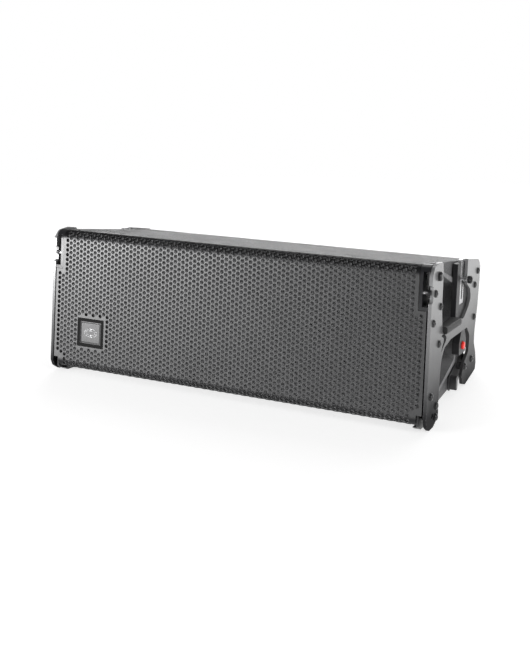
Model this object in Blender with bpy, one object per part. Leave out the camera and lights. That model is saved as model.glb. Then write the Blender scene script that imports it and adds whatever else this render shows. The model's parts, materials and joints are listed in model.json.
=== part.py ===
# Powered line array speaker module: a shallow wedge-shaped cabinet with a full-width
# perforated grille, two woofers beside a central horn, an amplifier at the back and a
# steel rigging plate with sliding links on each side.
#
# Frame: X to the right, Y to the back, Z up, metres. The origin is the bottom centre of the
# whole object. Every piece is parented to one empty on the grille's front plane at mid
# height, so the numbers below are (x, d, h): sideways, depth behind the grille's face and
# height above the middle plane.

import bpy
import bmesh
from math import cos, pi, radians, sin, tan
from mathutils import Matrix, Vector

# Driving dimensions
WIDTH = 0.790            # over the two rigging plates
FRONT_HEIGHT = 0.286     # cabinet height, extended to the grille's front plane
DEPTH = 0.380            # grille face to the rigging plates' rear edge
TAPER = radians(4.5)     # the top and the bottom each lean in by this much
FOOT_DROP = 0.007        # how far the plates' front feet reach below the cabinet
GAP = 0.0003             # clearance between pieces that touch or fit

# Cabinet
PLATE = 0.006            # rigging plate thickness
SIDE_GAP = 0.012         # space between rigging plate and cabinet side
BOARD = 0.012            # cabinet wall
CAB_FRONT = 0.026        # the shell's front edge
REAR_INSET = 0.035       # plates' rear edge to the cabinet's rear face
BAFFLE_FACE = 0.030
BAFFLE_BOARD = 0.015

# Grille
GRILLE_SHEET = 0.0015
GRILLE_ROLL = 0.018      # outer radius of the rolled top and bottom edges
GRILLE_DEPTH = 0.0245
GRILLE_SIDE_GAP = 0.0025  # grille edge to rigging plate
NOTCH_WIDTH = 0.0155     # upper corner notches, measured from the grille's side edge
NOTCH_DROP = 0.081       # their height, measured from the cabinet's top edge
FOOT_NOTCH_WIDTH = 0.010
FOOT_NOTCH_RISE = 0.024
FOAM_FACE = 0.0052
FOAM = 0.006

# Badge
BADGE_X = -0.2995
BADGE_RISE = 0.081       # badge centre above the cabinet's bottom edge
BADGE_SIZE = (0.057, 0.052)
BADGE_THICKNESS = 0.0042

# Drivers
FRAME_MARGIN = 0.006     # woofer frame to the cabinet's inner walls
FRAME_RIM = 0.014        # width of the woofer's mounting flange
WOOFER_DEPTH = 0.072     # flange to magnet
MAGNET = 0.033
MAGNET_RADIUS = 0.070
COIL_RADIUS = 0.0335
COIL_WALL = 0.001
CONE_TRAVEL = 0.004
HORN_MARGIN = 0.015      # horn mouth to the woofers' frames
HORN_DEPTH = 0.095
THROAT_HALF_WIDTH = 0.013
THROAT_RADIUS = 0.0115
DRIVER_RADIUS = 0.044
DRIVER_LENGTH = 0.052
HORN_WALL = 0.003

# Handle cup and grip
CUP_BEHIND_BAR = 0.019   # cup's front wall behind the front bar
CUP_REAR_INSET = 0.122   # plates' rear edge to the cup's rear wall
CUP_DEPTH = 0.045
CUP_WALL = 0.003
CUP_LIP = 0.006
CUP_FRONT_MARGIN = 0.014  # cup edge below the cabinet's top edge, at the cup's front end
CUP_REAR_MARGIN = 0.049
GRIP_BEHIND_BAR = 0.0165
GRIP_END_INSET = 0.183   # plates' rear edge to the grip's end
GRIP_SIZE = (0.022, 0.0135)

# Rigging plate outline
PLATE_RISE = 0.003       # plate edge above the cabinet's top
BAR_WIDTH = 0.073        # front bar
STRUT_TOP = 0.013
STRUT_BOTTOM = -0.0115
PLATE_NOTCH = (0.072, 0.110)
CRESCENT = [             # hole where the strut leaves the bar: depth behind the bar, height
    (0.006, 0.0075), (0.018, 0.0078), (0.032, 0.0055), (0.041, 0.0015), (0.0445, -0.003),
    (0.040, -0.008), (0.029, -0.0135), (0.020, -0.0175), (0.0125, -0.0235), (0.0105, -0.0215),
    (0.0165, -0.014), (0.0235, -0.0075), (0.0255, -0.003), (0.0225, 0.001), (0.014, 0.0035),
]

# Links and their pins
LINK = 0.007
LINK_AIR = 0.001         # link to rigging plate
FRONT_LINK_D = 0.041
FRONT_LINK_WIDTH = 0.022
FRONT_LINK_TRAVEL = 0.030
FRONT_PIN_DROP = 0.0208  # pin below the cabinet's top edge
FRONT_PIN_RADIUS = 0.005
THUMB_DROP = 0.046
REAR_LINK_INSET = 0.130
REAR_LINK_WIDTH = 0.034
REAR_LINK_TRAVEL = 0.036
REAR_PIN_DROP = 0.0353
REAR_PIN_RADIUS = 0.004
PIN_AIR = 0.0003
PIN_STAND_OFF = 0.003    # rear pin's knob in front of the rigging plate
FORK = 0.003             # inner fork plate
LOCK_RISE = 0.081        # lock above the cabinet's bottom edge
LOCK_WEB = 0.064         # how far the lock's web runs back behind the rigging plate
BUTTON_TRAVEL = 0.003

# Amplifier
AMP_PANEL = (0.195, 0.093)
AMP_LAP = 0.010          # how far the panel laps over its opening
AMP_SHEET = 0.003
FIN_COUNT = 14
FIN_PITCH = 0.0165
FIN = 0.003
FIN_TIP_INSET = 0.0055   # plates' rear edge to the fin tips
SOCKETS = {
    "mains_inlet": (-0.160, -0.055),
    "mains_outlet": (-0.115, -0.055),
    "signal_input": (-0.160, -0.010),
    "signal_output": (-0.115, -0.010),
}
SOCKET_FLANGE = 0.014
SOCKET_BARREL = 0.011
SOCKET_HOLE = 0.0085
SOCKET_LENGTH = 0.0215
SWITCH_PLACE = (-0.160, 0.032)
SWITCH_HALF = (0.007, 0.0105)
DISPLAY_PLACE = (-0.122, 0.064)
DISPLAY_HALF = (0.024, 0.013)
KNOB_PLACE = (-0.115, 0.032)
KNOB_RADIUS = 0.009


def half_height(d):
    return FRONT_HEIGHT / 2 - d * tan(TAPER)


# Worked-out places
MID_HEIGHT = FRONT_HEIGHT / 2 + FOOT_DROP
PLATE_OUT = WIDTH / 2
PLATE_IN = PLATE_OUT - PLATE
CAB_HALF = PLATE_IN - SIDE_GAP
CAB_REAR = DEPTH - REAR_INSET
GRILLE_HALF = PLATE_IN - GRILLE_SIDE_GAP
GRILLE_TOP = half_height(GRILLE_DEPTH) - GAP
NOTCH_X = GRILLE_HALF - NOTCH_WIDTH
NOTCH_H = FRONT_HEIGHT / 2 - NOTCH_DROP
FOOT_NOTCH_X = GRILLE_HALF - FOOT_NOTCH_WIDTH
FOOT_NOTCH_H = -FRONT_HEIGHT / 2 + FOOT_NOTCH_RISE
BAFFLE_BACK = BAFFLE_FACE + BAFFLE_BOARD
INNER_HALF = CAB_HALF - BOARD
FRAME_RADIUS = half_height(BAFFLE_BACK) - BOARD - FRAME_MARGIN / 2
WOOFER_X = INNER_HALF - FRAME_RADIUS - FRAME_MARGIN / 2
BASKET_RADIUS = FRAME_RADIUS - FRAME_RIM
FLANGE_FACE = BAFFLE_FACE - 0.0045
MAGNET_FACE = FLANGE_FACE + WOOFER_DEPTH
HORN_HALF_HEIGHT = FRAME_RADIUS - FRAME_RIM
HORN_HALF_WIDTH = INNER_HALF - FRAME_MARGIN / 2 - 2 * FRAME_RADIUS - HORN_MARGIN
CUP_FRONT = BAR_WIDTH + CUP_BEHIND_BAR
GRIP_START = BAR_WIDTH + GRIP_BEHIND_BAR
CUP_REAR = DEPTH - CUP_REAR_INSET
GRIP_END = DEPTH - GRIP_END_INSET
REAR_LINK_D = DEPTH - REAR_LINK_INSET
LINK_OUT = PLATE_IN - LINK_AIR
LINK_IN = LINK_OUT - LINK
FORK_OUT = CAB_HALF + GAP + FORK
FRONT_PIN_H = half_height(FRONT_LINK_D) - FRONT_PIN_DROP
REAR_PIN_H = half_height(REAR_LINK_D) - REAR_PIN_DROP
THUMB_H = half_height(FRONT_LINK_D) - THUMB_DROP
LOCK_H = -half_height(REAR_LINK_D) + LOCK_RISE
AMP_FACE = CAB_REAR + GAP + AMP_SHEET
FOOT_H = -MID_HEIGHT
SIDES = ((-1, "left"), (1, "right"))

# Button bolts on a rigging plate: depth, height, whether a spacer sits behind the plate
# and whether that spacer stands on a fork plate instead of the cabinet side.
BOLTS = [
    (0.022, NOTCH_H + 0.029, False, False),
    (0.061, NOTCH_H + 0.001, True, False),
    (0.016, NOTCH_H - 0.022, False, False),
    (0.062, -0.004, True, False),
    (0.024, FOOT_H + 0.060, False, False),
    (0.064, FOOT_H + 0.035, True, True),
    (0.064, FOOT_H + 0.015, True, True),
    (DEPTH - 0.026, half_height(DEPTH) - 0.020, False, False),
    (DEPTH - 0.048, half_height(DEPTH) - 0.046, True, False),
    (DEPTH - 0.041, 0.001, True, False),
    (DEPTH - 0.046, -half_height(DEPTH) + 0.029, True, False),
    (REAR_LINK_D + 0.028, -half_height(DEPTH) + 0.025, True, True),
]
BOLT_HEAD = 0.007
SPACER_RADIUS = 0.008


def clear_scene():
    for thing in list(bpy.data.objects):
        bpy.data.objects.remove(thing, do_unlink=True)


def paint(name, colour, roughness, metallic=0.0):
    made = bpy.data.materials.new(name)
    made.use_nodes = True
    shader = made.node_tree.nodes["Principled BSDF"]
    shader.inputs["Base Color"].default_value = (*colour, 1.0)
    shader.inputs["Roughness"].default_value = roughness
    shader.inputs["Metallic"].default_value = metallic
    return made


# Outlines are lists of 2-D points

def circle(centre, radius, segments=12):
    turn = 2 * pi / segments
    return [(centre[0] + radius * cos(i * turn), centre[1] + radius * sin(i * turn))
            for i in range(segments)]


def arc(centre, radius, start, end, steps):
    angles = [radians(start + (end - start) * i / steps) for i in range(steps + 1)]
    return [(centre[0] + radius * cos(a), centre[1] + radius * sin(a)) for a in angles]


def rectangle(low, high):
    return [(low[0], low[1]), (high[0], low[1]), (high[0], high[1]), (low[0], high[1])]


def rounded(corners, steps=3):
    # corners are (u, v) or (u, v, radius): each radius becomes an arc tangent to both sides
    made = []
    for i, corner in enumerate(corners):
        here = Vector(corner[:2])
        radius = corner[2] if len(corner) > 2 else 0.0
        if radius == 0.0:
            made.append(tuple(here))
            continue
        back = Vector(corners[i - 1][:2]) - here
        ahead = Vector(corners[(i + 1) % len(corners)][:2]) - here
        half_angle = back.angle(ahead) / 2
        reach = min(radius / tan(half_angle), back.length * 0.45, ahead.length * 0.45)
        start = here + back.normalized() * reach
        end = here + ahead.normalized() * reach
        for k in range(steps + 1):
            t = k / steps
            point = start * (1 - t) ** 2 + here * 2 * t * (1 - t) + end * t ** 2
            made.append(tuple(point))
    return made


# Solids are closed bmeshes in (x, d, h)

def prism(outline, axis, low, high):
    spread = {
        "X": lambda u, v, w: (w, u, v),
        "Y": lambda u, v, w: (u, w, v),
        "Z": lambda u, v, w: (u, v, w),
    }[axis]
    bm = bmesh.new()
    near = [bm.verts.new(spread(u, v, low)) for u, v in outline]
    far = [bm.verts.new(spread(u, v, high)) for u, v in outline]
    bm.faces.new(near)
    bm.faces.new(far)
    for i in range(len(outline)):
        j = (i + 1) % len(outline)
        bm.faces.new((near[i], near[j], far[j], far[i]))
    bmesh.ops.recalc_face_normals(bm, faces=bm.faces)
    return bm


def box(low, high):
    return prism(rectangle(low[:2], high[:2]), "Z", low[2], high[2])


def rod(axis, centre, radius, low, high, segments=12):
    return prism(circle(centre, radius, segments), axis, low, high)


def lathe(profile, axis, centre, segments=20):
    # profile is a closed loop of (radius, distance along the axis); radius 0 is a pole
    place = {
        "X": lambda r, a, t: (t, centre[0] + r * cos(a), centre[1] + r * sin(a)),
        "Y": lambda r, a, t: (centre[0] + r * cos(a), t, centre[1] + r * sin(a)),
    }[axis]
    bm = bmesh.new()
    rings = []
    for radius, along in profile:
        if radius == 0.0:
            rings.append([bm.verts.new(place(0.0, 0.0, along))] * segments)
        else:
            rings.append([bm.verts.new(place(radius, 2 * pi * i / segments, along))
                          for i in range(segments)])
    for first, second in zip(rings, rings[1:] + rings[:1]):
        for i in range(segments):
            j = (i + 1) % segments
            corners = []
            for vert in (first[i], first[j], second[j], second[i]):
                if vert not in corners:
                    corners.append(vert)
            if len(corners) > 2:
                bm.faces.new(corners)
    bmesh.ops.recalc_face_normals(bm, faces=bm.faces)
    return bm


def loft(near_outline, far_outline, near_d, far_d):
    # a straight-sided solid between two outlines of (x, h) at two depths
    bm = bmesh.new()
    near = [bm.verts.new((x, near_d, h)) for x, h in near_outline]
    far = [bm.verts.new((x, far_d, h)) for x, h in far_outline]
    bm.faces.new(near)
    bm.faces.new(far)
    for i in range(len(near)):
        j = (i + 1) % len(near)
        bm.faces.new((near[i], near[j], far[j], far[i]))
    bmesh.ops.recalc_face_normals(bm, faces=bm.faces)
    return bm


def together(solids):
    # several solids in one mesh
    whole = bmesh.new()
    for solid in solids:
        mesh = bpy.data.meshes.new("piece")
        solid.to_mesh(mesh)
        solid.free()
        whole.from_mesh(mesh)
        bpy.data.meshes.remove(mesh)
    return whole


class Workshop:
    # Makes objects under the speaker's empty and keeps the cutters out of sight

    def __init__(self):
        self.base = bpy.data.objects.new("speaker", None)
        self.base.location = (0.0, -DEPTH / 2, MID_HEIGHT)
        bpy.context.scene.collection.objects.link(self.base)

    def add(self, name, solid, material=None, origin=(0.0, 0.0, 0.0)):
        bmesh.ops.transform(solid, matrix=Matrix.Translation(-Vector(origin)), verts=solid.verts)
        mesh = bpy.data.meshes.new(name)
        solid.to_mesh(mesh)
        solid.free()
        mesh.shade_smooth()
        mesh.set_sharp_from_angle(angle=radians(35))
        made = bpy.data.objects.new(name, mesh)
        made.location = origin
        made.parent = self.base
        if material:
            made.data.materials.append(material)
        bpy.context.scene.collection.objects.link(made)
        return made

    def combine(self, target, solid, operation):
        tool = self.add(target.name + "_" + operation.lower(), solid)
        tool.hide_render = True
        tool.display_type = "WIRE"
        step = target.modifiers.new(operation.title(), "BOOLEAN")
        step.operation = operation
        step.solver = "EXACT"
        step.object = tool

    def cut(self, target, *solids):
        for solid in solids:
            self.combine(target, solid, "DIFFERENCE")

    def fuse(self, target, *solids):
        for solid in solids:
            self.combine(target, solid, "UNION")


def wedge(front, rear, inset):
    # side outline (d, h) of the cabinet's wedge, pulled in by inset above and below
    return [(front, half_height(front) - inset), (rear, half_height(rear) - inset),
            (rear, -half_height(rear) + inset), (front, -half_height(front) + inset)]


def cup_outline(grow):
    front = CUP_FRONT - grow
    rear = CUP_REAR + grow
    tall = half_height(CUP_FRONT) - CUP_FRONT_MARGIN + grow
    short = half_height(CUP_REAR) - CUP_REAR_MARGIN + grow
    return rounded([(front, tall, 0.008), (rear, short, 0.008),
                    (rear, -short, 0.008), (front, -tall, 0.008)], steps=2)


def cabinet(shop, paints):
    shell = shop.add("cabinet_shell",
                     prism(wedge(CAB_FRONT, CAB_REAR, 0.0), "X", -CAB_HALF, CAB_HALF),
                     paints["texture"])
    shop.cut(shell, prism(wedge(CAB_FRONT - 0.01, CAB_REAR - BOARD, BOARD), "X",
                          -INNER_HALF, INNER_HALF))
    opening = (AMP_PANEL[0] - AMP_LAP, AMP_PANEL[1] - AMP_LAP)
    holes = [box((-opening[0], CAB_REAR - 2 * BOARD, -opening[1]),
                 (opening[0], CAB_REAR + 0.01, opening[1]))]
    for side in (-1, 1):
        holes.append(prism(cup_outline(GAP), "X", side * (INNER_HALF - 0.01),
                           side * (CAB_HALF + 0.01)))
    shop.cut(shell, together(holes))

    edge = half_height(BAFFLE_BACK) - BOARD - GAP
    baffle = shop.add("front_baffle",
                      box((-INNER_HALF + GAP, BAFFLE_FACE, -edge),
                          (INNER_HALF - GAP, BAFFLE_BACK, edge)), paints["wood"])
    holes = [rod("Y", (side * WOOFER_X, 0.0), BASKET_RADIUS + GAP, 0.0, 0.1, 20)
             for side in (-1, 1)]
    holes.append(box((-HORN_HALF_WIDTH - GAP, 0.0, -HORN_HALF_HEIGHT - GAP),
                     (HORN_HALF_WIDTH + GAP, 0.1, HORN_HALF_HEIGHT + GAP)))
    shop.cut(baffle, together(holes))

    inner = HORN_HALF_WIDTH + 0.027
    start = BAFFLE_BACK + 0.015
    end = start + 0.155
    window = rounded([(start + 0.03, 0.05, 0.012), (end - 0.03, 0.05, 0.012),
                      (end - 0.03, -0.05, 0.012), (start + 0.03, -0.05, 0.012)])
    for side, tag in SIDES:
        brace = shop.add("cabinet_brace_" + tag, prism(
            wedge(start, end, BOARD + GAP), "X", side * inner, side * (inner + BOARD)),
            paints["wood"])
        shop.cut(brace, prism(window, "X", -WIDTH, WIDTH))


def grille(shop, paints):
    top = GRILLE_TOP
    roll = GRILLE_ROLL

    def profile(inset, back):
        upper = arc((roll, top - roll), roll - inset, 90, 180, 5)
        lower = arc((roll, roll - top), roll - inset, 180, 270, 5)
        return [(back, top - inset)] + upper + lower + [(back, inset - top)]

    sheet = shop.add("grille", prism(profile(0.0, GRILLE_DEPTH), "X", -GRILLE_HALF, GRILLE_HALF),
                     paints["grille"])
    inside = GRILLE_HALF - GRILLE_SHEET
    shop.cut(sheet, prism(profile(GRILLE_SHEET, GRILLE_DEPTH + 0.01), "X", -inside, inside))
    holes = []
    for side in (-1, 1):
        upper = sorted((side * NOTCH_X, side * WIDTH))
        lower = sorted((side * FOOT_NOTCH_X, side * WIDTH))
        holes.append(box((upper[0], -0.01, NOTCH_H), (upper[1], 0.04, FRONT_HEIGHT)))
        holes.append(box((lower[0], -0.01, -FRONT_HEIGHT), (lower[1], 0.04, FOOT_NOTCH_H)))
    badge_h = -FRONT_HEIGHT / 2 + BADGE_RISE
    half = (BADGE_SIZE[0] / 2, BADGE_SIZE[1] / 2)
    holes.append(box((BADGE_X - half[0], -0.01, badge_h - half[1]),
                     (BADGE_X + half[0], 0.01, badge_h + half[1])))
    shop.cut(sheet, together(holes))

    wide = inside - GAP
    narrow = NOTCH_X - GRILLE_SHEET
    tall = top - roll
    low = FOOT_NOTCH_H + 0.002
    outline = [(-wide, low), (wide, low), (wide, NOTCH_H - 0.003), (narrow, NOTCH_H - 0.003),
               (narrow, tall), (-narrow, tall), (-narrow, NOTCH_H - 0.003),
               (-wide, NOTCH_H - 0.003)]
    shop.add("grille_foam", prism(outline, "Y", FOAM_FACE, FOAM_FACE + FOAM), paints["foam"])

    lip = 0.004
    inner = rectangle((BADGE_X - half[0] + lip, badge_h - half[1] + lip),
                      (BADGE_X + half[0] - lip, badge_h + half[1] - lip))
    badge = shop.add("badge_plate",
                     prism(rectangle((BADGE_X - half[0] + GAP, badge_h - half[1] + GAP),
                                     (BADGE_X + half[0] - GAP, badge_h + half[1] - GAP)),
                           "Y", GAP, BADGE_THICKNESS), paints["badge"])
    shop.cut(badge, prism(inner, "Y", -0.01, 0.0022))
    face = [(BADGE_X + (x - BADGE_X) * 0.86, badge_h + (h - badge_h) * 0.86) for x, h in inner]
    shop.fuse(badge, loft(inner, face, BADGE_THICKNESS - 0.001, 0.0008))


def corner_block(shop, paints, side, tag):
    top = GRILLE_TOP
    roll = GRILLE_ROLL
    face = 0.0005
    back = GRILLE_DEPTH + 0.001
    base = NOTCH_H + 0.0005
    inner = NOTCH_X + 0.0005
    outer = PLATE_IN - GAP
    outline = ([(back, top)] + arc((roll + face, top - roll), roll, 90, 180, 4)
               + [(face, base), (back, base)])
    block = shop.add("corner_block_" + tag, prism(outline, "X", side * inner, side * outer),
                     paints["plastic"])
    wall = CAB_HALF - NOTCH_X + 0.0007
    slot = sorted((side * (NOTCH_X + wall), side * (outer + 0.01)))
    shop.cut(block, box((slot[0], -0.01, base + 0.0065), (slot[1], 0.05, top - 0.011)))


def woofer(shop, paints, side, tag):
    centre = (side * WOOFER_X, 0.0)
    neck = MAGNET_RADIUS - 0.002
    wall = 0.0025
    face = FLANGE_FACE
    back = MAGNET_FACE
    basket = shop.add("woofer_basket_" + tag, lathe([
        (FRAME_RADIUS, face), (FRAME_RADIUS, BAFFLE_FACE - GAP), (BASKET_RADIUS, BAFFLE_FACE - GAP),
        (BASKET_RADIUS, BAFFLE_BACK + 0.002), (neck, back - wall), (neck, back),
        (COIL_RADIUS + 0.006, back), (COIL_RADIUS + 0.006, back - wall), (neck - wall, back - wall),
        (BASKET_RADIUS - wall, BAFFLE_BACK + 0.002), (BASKET_RADIUS - wall, face),
    ], "Y", centre), paints["cast"])
    windows = []
    for i in range(6):
        window = box((0.055, BAFFLE_BACK + 0.008, -0.022), (0.130, back - 0.010, 0.022))
        turn = Matrix.Rotation(radians(60 * i + 30), 4, "Y")
        shift = Matrix.Translation((centre[0], 0.0, centre[1]))
        bmesh.ops.transform(window, matrix=shift @ turn, verts=window.verts)
        windows.append(window)
    shop.cut(basket, together(windows))

    groove_in = COIL_RADIUS - COIL_WALL - 0.001
    groove_out = COIL_RADIUS + COIL_WALL + 0.001
    front = back + GAP
    groove = front + MAGNET * 0.75
    shop.add("woofer_magnet_" + tag, lathe([
        (0.0, front), (groove_in, front), (groove_in, groove), (groove_out, groove),
        (groove_out, front), (MAGNET_RADIUS, front), (MAGNET_RADIUS, front + MAGNET),
        (0.0, front + MAGNET),
    ], "Y", centre), paints["magnet"])

    edge = BASKET_RADIUS - FRAME_RIM
    cone_face = face - 0.003
    neck_d = back - 0.024
    former = COIL_RADIUS + COIL_WALL / 2
    shop.add("woofer_cone_" + tag, lathe([
        (0.0, neck_d - 0.026), (0.022, neck_d - 0.022), (0.036, neck_d - 0.010),
        (edge - 0.004, cone_face + 0.0015), (edge - 0.0015, cone_face), (edge, cone_face),
        (edge, cone_face + 0.005), (edge - 0.003, cone_face + 0.005), (former, neck_d),
        (former, back + 0.012), (former - COIL_WALL, back + 0.012), (former - COIL_WALL, neck_d),
        (0.020, neck_d - 0.018), (0.0, neck_d - 0.022),
    ], "Y", centre), paints["cone"], origin=(centre[0], face, centre[1]))

    inner = edge + GAP
    lip = face - GAP
    crown = (inner + 0.003 + BASKET_RADIUS) / 2
    arch = (BASKET_RADIUS - inner - 0.003) / 2
    outside = arc((crown, lip - 0.0015), arch, 0, -180, 6)
    inside = arc((crown, lip), arch - 0.0015, -180, 0, 6)
    shop.add("woofer_surround_" + tag, lathe(
        [(BASKET_RADIUS + 0.006, lip), (BASKET_RADIUS + 0.006, lip - 0.0015)] + outside
        + [(inner, lip - 0.0015), (inner, lip)] + inside, "Y", centre), paints["rubber"])


def horn(shop, paints):
    face = FLANGE_FACE
    back = face + HORN_DEPTH
    mouth = (HORN_HALF_WIDTH, HORN_HALF_HEIGHT)
    throat = (THROAT_HALF_WIDTH + HORN_WALL, HORN_HALF_HEIGHT - 0.012)
    lip = 0.008

    def frame(half, grow):
        return rectangle((-half[0] - grow, -half[1] - grow), (half[0] + grow, half[1] + grow))

    shape = shop.add("horn_waveguide", prism(frame(mouth, lip), "Y", face, BAFFLE_FACE - GAP),
                     paints["plastic"])
    shop.fuse(shape, prism(frame(mouth, 0.0), "Y", face + 0.001, BAFFLE_BACK))
    shop.fuse(shape, loft(frame(mouth, 0.0), frame(throat, 0.0), BAFFLE_BACK - 0.001, back))
    shop.fuse(shape, prism(frame((DRIVER_RADIUS, throat[1]), 0.0), "Y", back - 0.004, back))
    cavity_front = face - 0.004
    cavity_back = back - 0.012
    shop.cut(shape, loft(frame(mouth, -HORN_WALL), frame(throat, -HORN_WALL),
                         cavity_front, cavity_back))
    reach = HORN_HALF_HEIGHT - 0.012 - DRIVER_RADIUS
    throats = [rod("Y", (0.0, place * reach), THROAT_RADIUS, cavity_back - 0.01, back + 0.01, 12)
               for place in (-1, 1)]
    shop.cut(shape, together(throats))

    start = back + GAP
    end = start + DRIVER_LENGTH
    for place, name in ((1, "upper"), (-1, "lower")):
        shop.add("compression_driver_" + name, lathe([
            (THROAT_RADIUS, start), (DRIVER_RADIUS - 0.001, start),
            (DRIVER_RADIUS - 0.001, start + 0.012), (DRIVER_RADIUS - 0.006, start + 0.016),
            (DRIVER_RADIUS - 0.006, end - 0.006), (DRIVER_RADIUS - 0.012, end), (0.0, end),
            (0.0, start + 0.010), (THROAT_RADIUS, start + 0.006),
        ], "Y", (0.0, place * reach), 16), paints["magnet"])


def amplifier(shop, paints):
    half = AMP_PANEL
    panel = shop.add("amp_panel",
                     box((-half[0], CAB_REAR + GAP, -half[1]), (half[0], AMP_FACE, half[1])),
                     paints["panel"])
    holes = [rod("Y", place, SOCKET_BARREL + GAP, CAB_REAR - 0.01, AMP_FACE + 0.01, 12)
             for place in SOCKETS.values()]
    slack = 0.0012
    holes.append(box((SWITCH_PLACE[0] - SWITCH_HALF[0] - slack, CAB_REAR - 0.01,
                      SWITCH_PLACE[1] - SWITCH_HALF[1] - slack),
                     (SWITCH_PLACE[0] + SWITCH_HALF[0] + slack, AMP_FACE + 0.01,
                      SWITCH_PLACE[1] + SWITCH_HALF[1] + slack)))
    shop.cut(panel, together(holes))

    left = -0.062
    tip = DEPTH - FIN_TIP_INSET
    base = AMP_FACE + GAP
    comb = [(left, base), (left + FIN_PITCH * (FIN_COUNT - 1) + FIN, base)]
    for i in reversed(range(FIN_COUNT)):
        x = left + i * FIN_PITCH
        comb += [(x + FIN, tip), (x, tip)]
        if i:
            comb += [(x, base + 0.005), (x - FIN_PITCH + FIN, base + 0.005)]
    shop.add("heatsink", prism(comb, "Z", -half[1] + 0.008, half[1] - 0.008), paints["anodised"])

    for name, place in SOCKETS.items():
        front = AMP_FACE + GAP
        rim = front + 0.003
        deep = rim - SOCKET_LENGTH
        shop.add(name, lathe([
            (0.0, deep), (SOCKET_BARREL, deep), (SOCKET_BARREL, front), (SOCKET_FLANGE, front),
            (SOCKET_FLANGE, rim), (SOCKET_HOLE, rim), (SOCKET_HOLE, deep + 0.004),
            (0.0, deep + 0.004),
        ], "Y", place, 12), paints["plastic"])

    face = AMP_FACE + GAP
    x, h = DISPLAY_PLACE
    shop.add("display_window", box((x - DISPLAY_HALF[0], face, h - DISPLAY_HALF[1]),
                                   (x + DISPLAY_HALF[0], face + 0.0015, h + DISPLAY_HALF[1])),
             paints["glass"])
    shop.add("menu_knob", lathe([
        (0.0, face), (KNOB_RADIUS, face), (KNOB_RADIUS, face + 0.010),
        (KNOB_RADIUS - 0.0015, face + 0.012), (0.0, face + 0.012),
    ], "Y", KNOB_PLACE, 14), paints["plastic"], origin=(KNOB_PLACE[0], face, KNOB_PLACE[1]))

    x, h = SWITCH_PLACE
    pivot = CAB_REAR + 0.002
    tall = SWITCH_HALF[1]
    rocker = [(pivot - 0.003, -tall + 0.002), (pivot - 0.003, tall - 0.002),
              (pivot + 0.0055, tall), (pivot + 0.0035, 0.0), (pivot + 0.0055, -tall)]
    shop.add("power_switch", prism([(d, h + v) for d, v in rocker], "X",
                                   x - SWITCH_HALF[0], x + SWITCH_HALF[0]),
             paints["plastic"], origin=(x, pivot, h))

    board = CAB_REAR - 0.045
    circuit = shop.add("amp_board", box((-0.165, board, -0.070), (0.165, board + 0.0016, 0.070)),
                       paints["board"])
    parts = [rod("Y", (-0.09 + i * 0.034, 0.040), 0.0125, board - 0.035, board + 0.0008, 10)
             for i in range(4)]
    parts.append(box((0.055, board - 0.022, -0.050), (0.140, board + 0.0008, 0.010)))
    shop.fuse(circuit, together(parts))
    shop.add("power_transformer", lathe([
        (0.014, board - 0.045), (0.040, board - 0.045), (0.044, board - 0.041),
        (0.044, board - 0.006), (0.040, board - 0.002), (0.014, board - 0.002),
    ], "Y", (-0.075, -0.022), 18), paints["copper"])


def plate_outline():
    rear = DEPTH
    foot = FOOT_H

    def top(d):
        return half_height(d) + PLATE_RISE

    def low(d):
        return -half_height(d)

    return rounded([
        (0.0, top(0.0) - 0.022, 0.004), (0.0135, top(0.0) - 0.007, 0.010), (0.043, top(0.043), 0.006),
        (BAR_WIDTH - 0.005, top(BAR_WIDTH), 0.005), (BAR_WIDTH, top(BAR_WIDTH) - 0.022, 0.010),
        (BAR_WIDTH, NOTCH_H - 0.002, 0.020), (BAR_WIDTH + 0.013, STRUT_TOP, 0.003),
        (REAR_LINK_D, STRUT_TOP, 0.010), (REAR_LINK_D + 0.034, STRUT_TOP + 0.016, 0.010),
        (REAR_LINK_D + 0.053, STRUT_TOP + 0.034, 0.010),
        (REAR_LINK_D + 0.042, top(rear) - 0.052, 0.006), (REAR_LINK_D + 0.012, top(rear) - 0.038),
        (REAR_LINK_D + 0.012, top(REAR_LINK_D)), (rear - 0.018, top(rear), 0.008),
        (rear - 0.002, top(rear) - 0.014, 0.006), (rear - 0.002, top(rear) - 0.038, 0.010),
        (rear - 0.011, STRUT_TOP + 0.005, 0.020), (rear - 0.026, STRUT_BOTTOM - 0.0175, 0.010),
        (rear - 0.027, low(rear) + 0.060, 0.010), (rear - 0.008, low(rear) + 0.035, 0.010),
        (rear, low(rear) + 0.013), (rear - 0.003, low(rear) - 0.001, 0.004),
        (rear - 0.090, low(rear - 0.090) - 0.007, 0.004),
        (REAR_LINK_D + 0.016, low(REAR_LINK_D) + 0.002, 0.006),
        (REAR_LINK_D + 0.006, low(REAR_LINK_D) + 0.022, 0.006),
        (REAR_LINK_D + 0.022, low(REAR_LINK_D) + 0.044, 0.006),
        (REAR_LINK_D + 0.055, low(REAR_LINK_D) + 0.060, 0.010),
        (REAR_LINK_D + 0.059, STRUT_BOTTOM - 0.020, 0.010), (REAR_LINK_D + 0.032, STRUT_BOTTOM, 0.006),
        (BAR_WIDTH + 0.080, STRUT_BOTTOM, 0.020), (BAR_WIDTH + 0.033, STRUT_BOTTOM - 0.008, 0.015),
        (BAR_WIDTH + 0.014, STRUT_BOTTOM - 0.026, 0.015), (BAR_WIDTH + 0.008, STRUT_BOTTOM - 0.060, 0.020),
        (BAR_WIDTH + 0.007, foot + 0.030, 0.010), (BAR_WIDTH + 0.012, foot + 0.012, 0.008),
        (BAR_WIDTH - 0.022, foot, 0.006), (0.024, foot, 0.006), (0.006, foot + 0.010, 0.006),
        (0.0, foot + 0.022, 0.004),
    ], steps=2)


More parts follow.
